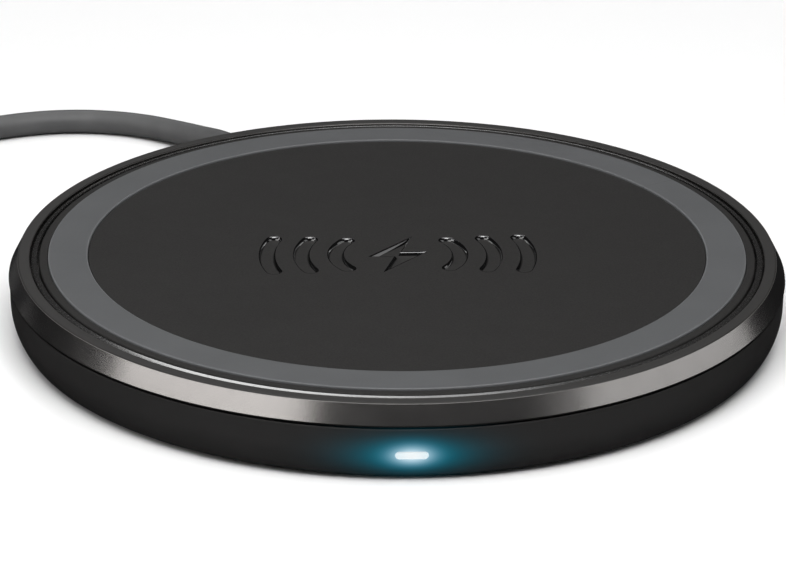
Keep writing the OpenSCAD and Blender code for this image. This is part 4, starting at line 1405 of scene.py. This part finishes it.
dress("controller_chip", chip("chip_black", (0, 9), (7, 7)))
bridge = Finish("bridge_chip_black", Specular_IOR_Level=0.4)
y = bridge.xyz()[1]
on_body = (y - BRIDGE_Y).one("ABSOLUTE") < BRIDGE_HALF
grain = bridge.noise(0.12, detail=3)
bridge.look(Base_Color=bridge.mix(on_body, TIN, (0.02, 0.02, 0.02)),
            Metallic=1 - on_body, Roughness=0.3 + 0.28 * on_body,
            Normal=bridge.bump(grain, 0.02, 0.5))
dress("bridge_chips", bridge)

# %% [markdown]
# Capacitors, resistors, the inductor's core and the light chips are all fired or cast bodies,
# mottled in two close tones. So one function makes each finish from its two colours.

# %% Ceramic capacitors, resistors and the rest of the board


def ceramic(name, low, high, roughness=0.45):
    """A fired ceramic body with a mottled colour."""
    made = Finish(name)
    mottle = made.noise(0.3, detail=4, roughness=0.7)
    made.look(Base_Color=made.mix(mottle, low, high), Roughness=roughness + 0.15 * mottle,
              Normal=made.bump(mottle, 0.02, 0.5))
    return made


dress("resonant_capacitors", ceramic("film_capacitor", (0.33, 0.22, 0.1), (0.5, 0.38, 0.2)))
dress("bulk_capacitors", ceramic("bulk_ceramic", (0.28, 0.2, 0.1), (0.42, 0.32, 0.18)))
dress("chip_capacitors", ceramic("chip_ceramic", (0.34, 0.25, 0.13), (0.48, 0.38, 0.24)))
dress("chip_resistors", ceramic("chip_resistor", (0.01, 0.01, 0.01), (0.035, 0.035, 0.035), 0.35))
dress("power_inductor", ceramic("inductor_ferrite", (0.05, 0.05, 0.052), (0.11, 0.11, 0.115), 0.55))
can_metal = Finish("can_metal", Metallic=1.0, Base_Color=(0.68, 0.68, 0.66))
can_metal.look(Roughness=0.25 + 0.2 * can_metal.noise(0.4, detail=3))
dress("crystal", can_metal)
dress("led_chips", ceramic("led_phosphor", (0.75, 0.72, 0.45), (0.9, 0.88, 0.66), 0.3))

# %% [markdown]
# Screws are plain steel with a worn shine. The four wires have glossy insulation, each in the
# colour that tells its use: red and black for power, white and green for data.

# %% Screws and wires
screw_steel = Finish("screw_steel", Metallic=1.0, Base_Color=(0.56, 0.56, 0.55))
scratch = screw_steel.noise(0.35, detail=4)
screw_steel.look(Roughness=0.22 + 0.25 * scratch, Normal=screw_steel.bump(scratch, 0.01, 0.5))
dress("case_screws", screw_steel)
dress("board_screws", screw_steel)


def insulation(name, colour):
    """Thin glossy wire insulation."""
    made = Finish(name, Base_Color=colour, Specular_IOR_Level=0.5)
    drawn = made.noise(0.5, detail=2)
    made.look(Roughness=0.25 + 0.15 * drawn, Normal=made.bump(drawn, 0.02, 0.4))
    return made


for shade, colour in (("red", (0.45, 0.02, 0.015)), ("black", (0.012, 0.012, 0.012)),
                      ("white", (0.75, 0.75, 0.73)), ("green", (0.02, 0.22, 0.04))):
    dress(f"wire_{shade}", insulation(f"wire_{shade}", colour))

# %% [markdown]
# ## Floor and light
# The pad stands on a plain pale floor, which the metal isn't allowed to mirror.

# %% Floor
pale = Finish("pale_floor", Base_Color=(0.9, 0.9, 0.9), Roughness=0.9, Specular_IOR_Level=0.1)
floor = start(bpy.ops.mesh.primitive_plane_add, "floor", size=8)
floor.data.materials.append(pale.material)
floor.visible_glossy = False
print("pale floor, hidden from reflections")

# %% [markdown]
# A dark glossy object is lit by what it mirrors. Two long soft boxes low at the left front
# and at the right draw the two bright sweeps on the bezel, and a smaller one beside each, its
# shoulder, lets the sweep fade slowly. One behind draws the line along the bead, one at the
# rear right and one close in front lift the far side and the base, and a large one above fills
# the floor and the top. The world stays dim, so the rest of the metal stays dark.

# %% Lights and world


def soft_box(name, turn, height, distance, size, power, tint=(1, 1, 1), lean=0):
    """A rectangular light at a turn and height round the pad, in degrees, that faces it.

    lean turns it in its own plane, so that one end hangs lower.
    """
    way = Vector((cos(radians(height)) * cos(radians(turn)),
                  cos(radians(height)) * sin(radians(turn)), sin(radians(height))))
    deselect()
    bpy.ops.object.light_add(type="AREA", location=way * distance)
    light = bpy.context.object
    light.name = name
    light.rotation_mode = "QUATERNION"
    light.rotation_quaternion = way.to_track_quat("Z", "Y") @ Quaternion((0, 0, 1), radians(lean))
    light.data.shape = "RECTANGLE"
    light.data.size, light.data.size_y = size
    light.data.energy = power
    light.data.color = tint


soft_box("left front", -149, 27, 1.2, (1.26, 0.28), 1.85, (1, 0.985, 0.97), lean=9)
soft_box("left shoulder", 172, 27, 1.2, (0.4, 0.28), 0.8)
soft_box("right", -4, 18, 1.2, (1.4, 0.26), 1.05, lean=-15)
soft_box("right shoulder", -42, 20, 1.2, (0.3, 0.26), 0.09)
soft_box("behind", 99, 47, 1.2, (0.32, 0.34), 1.7)
soft_box("rear right", 62, 58, 1.0, (0.5, 0.2), 0.8)
soft_box("front", -90, 60, 0.3, (0.2, 0.12), 0.42)
soft_box("above", -90, 76, 1.6, (2.0, 1.6), 25)
world = bpy.data.worlds.new("studio")
bpy.context.scene.world = world
world.use_nodes = True
world.node_tree.nodes["Background"].inputs["Color"].default_value = (0.01, 0.01, 0.0105, 1)
world.node_tree.nodes["Background"].inputs["Strength"].default_value = 1
bpy.context.scene.view_settings.view_transform = "Standard"
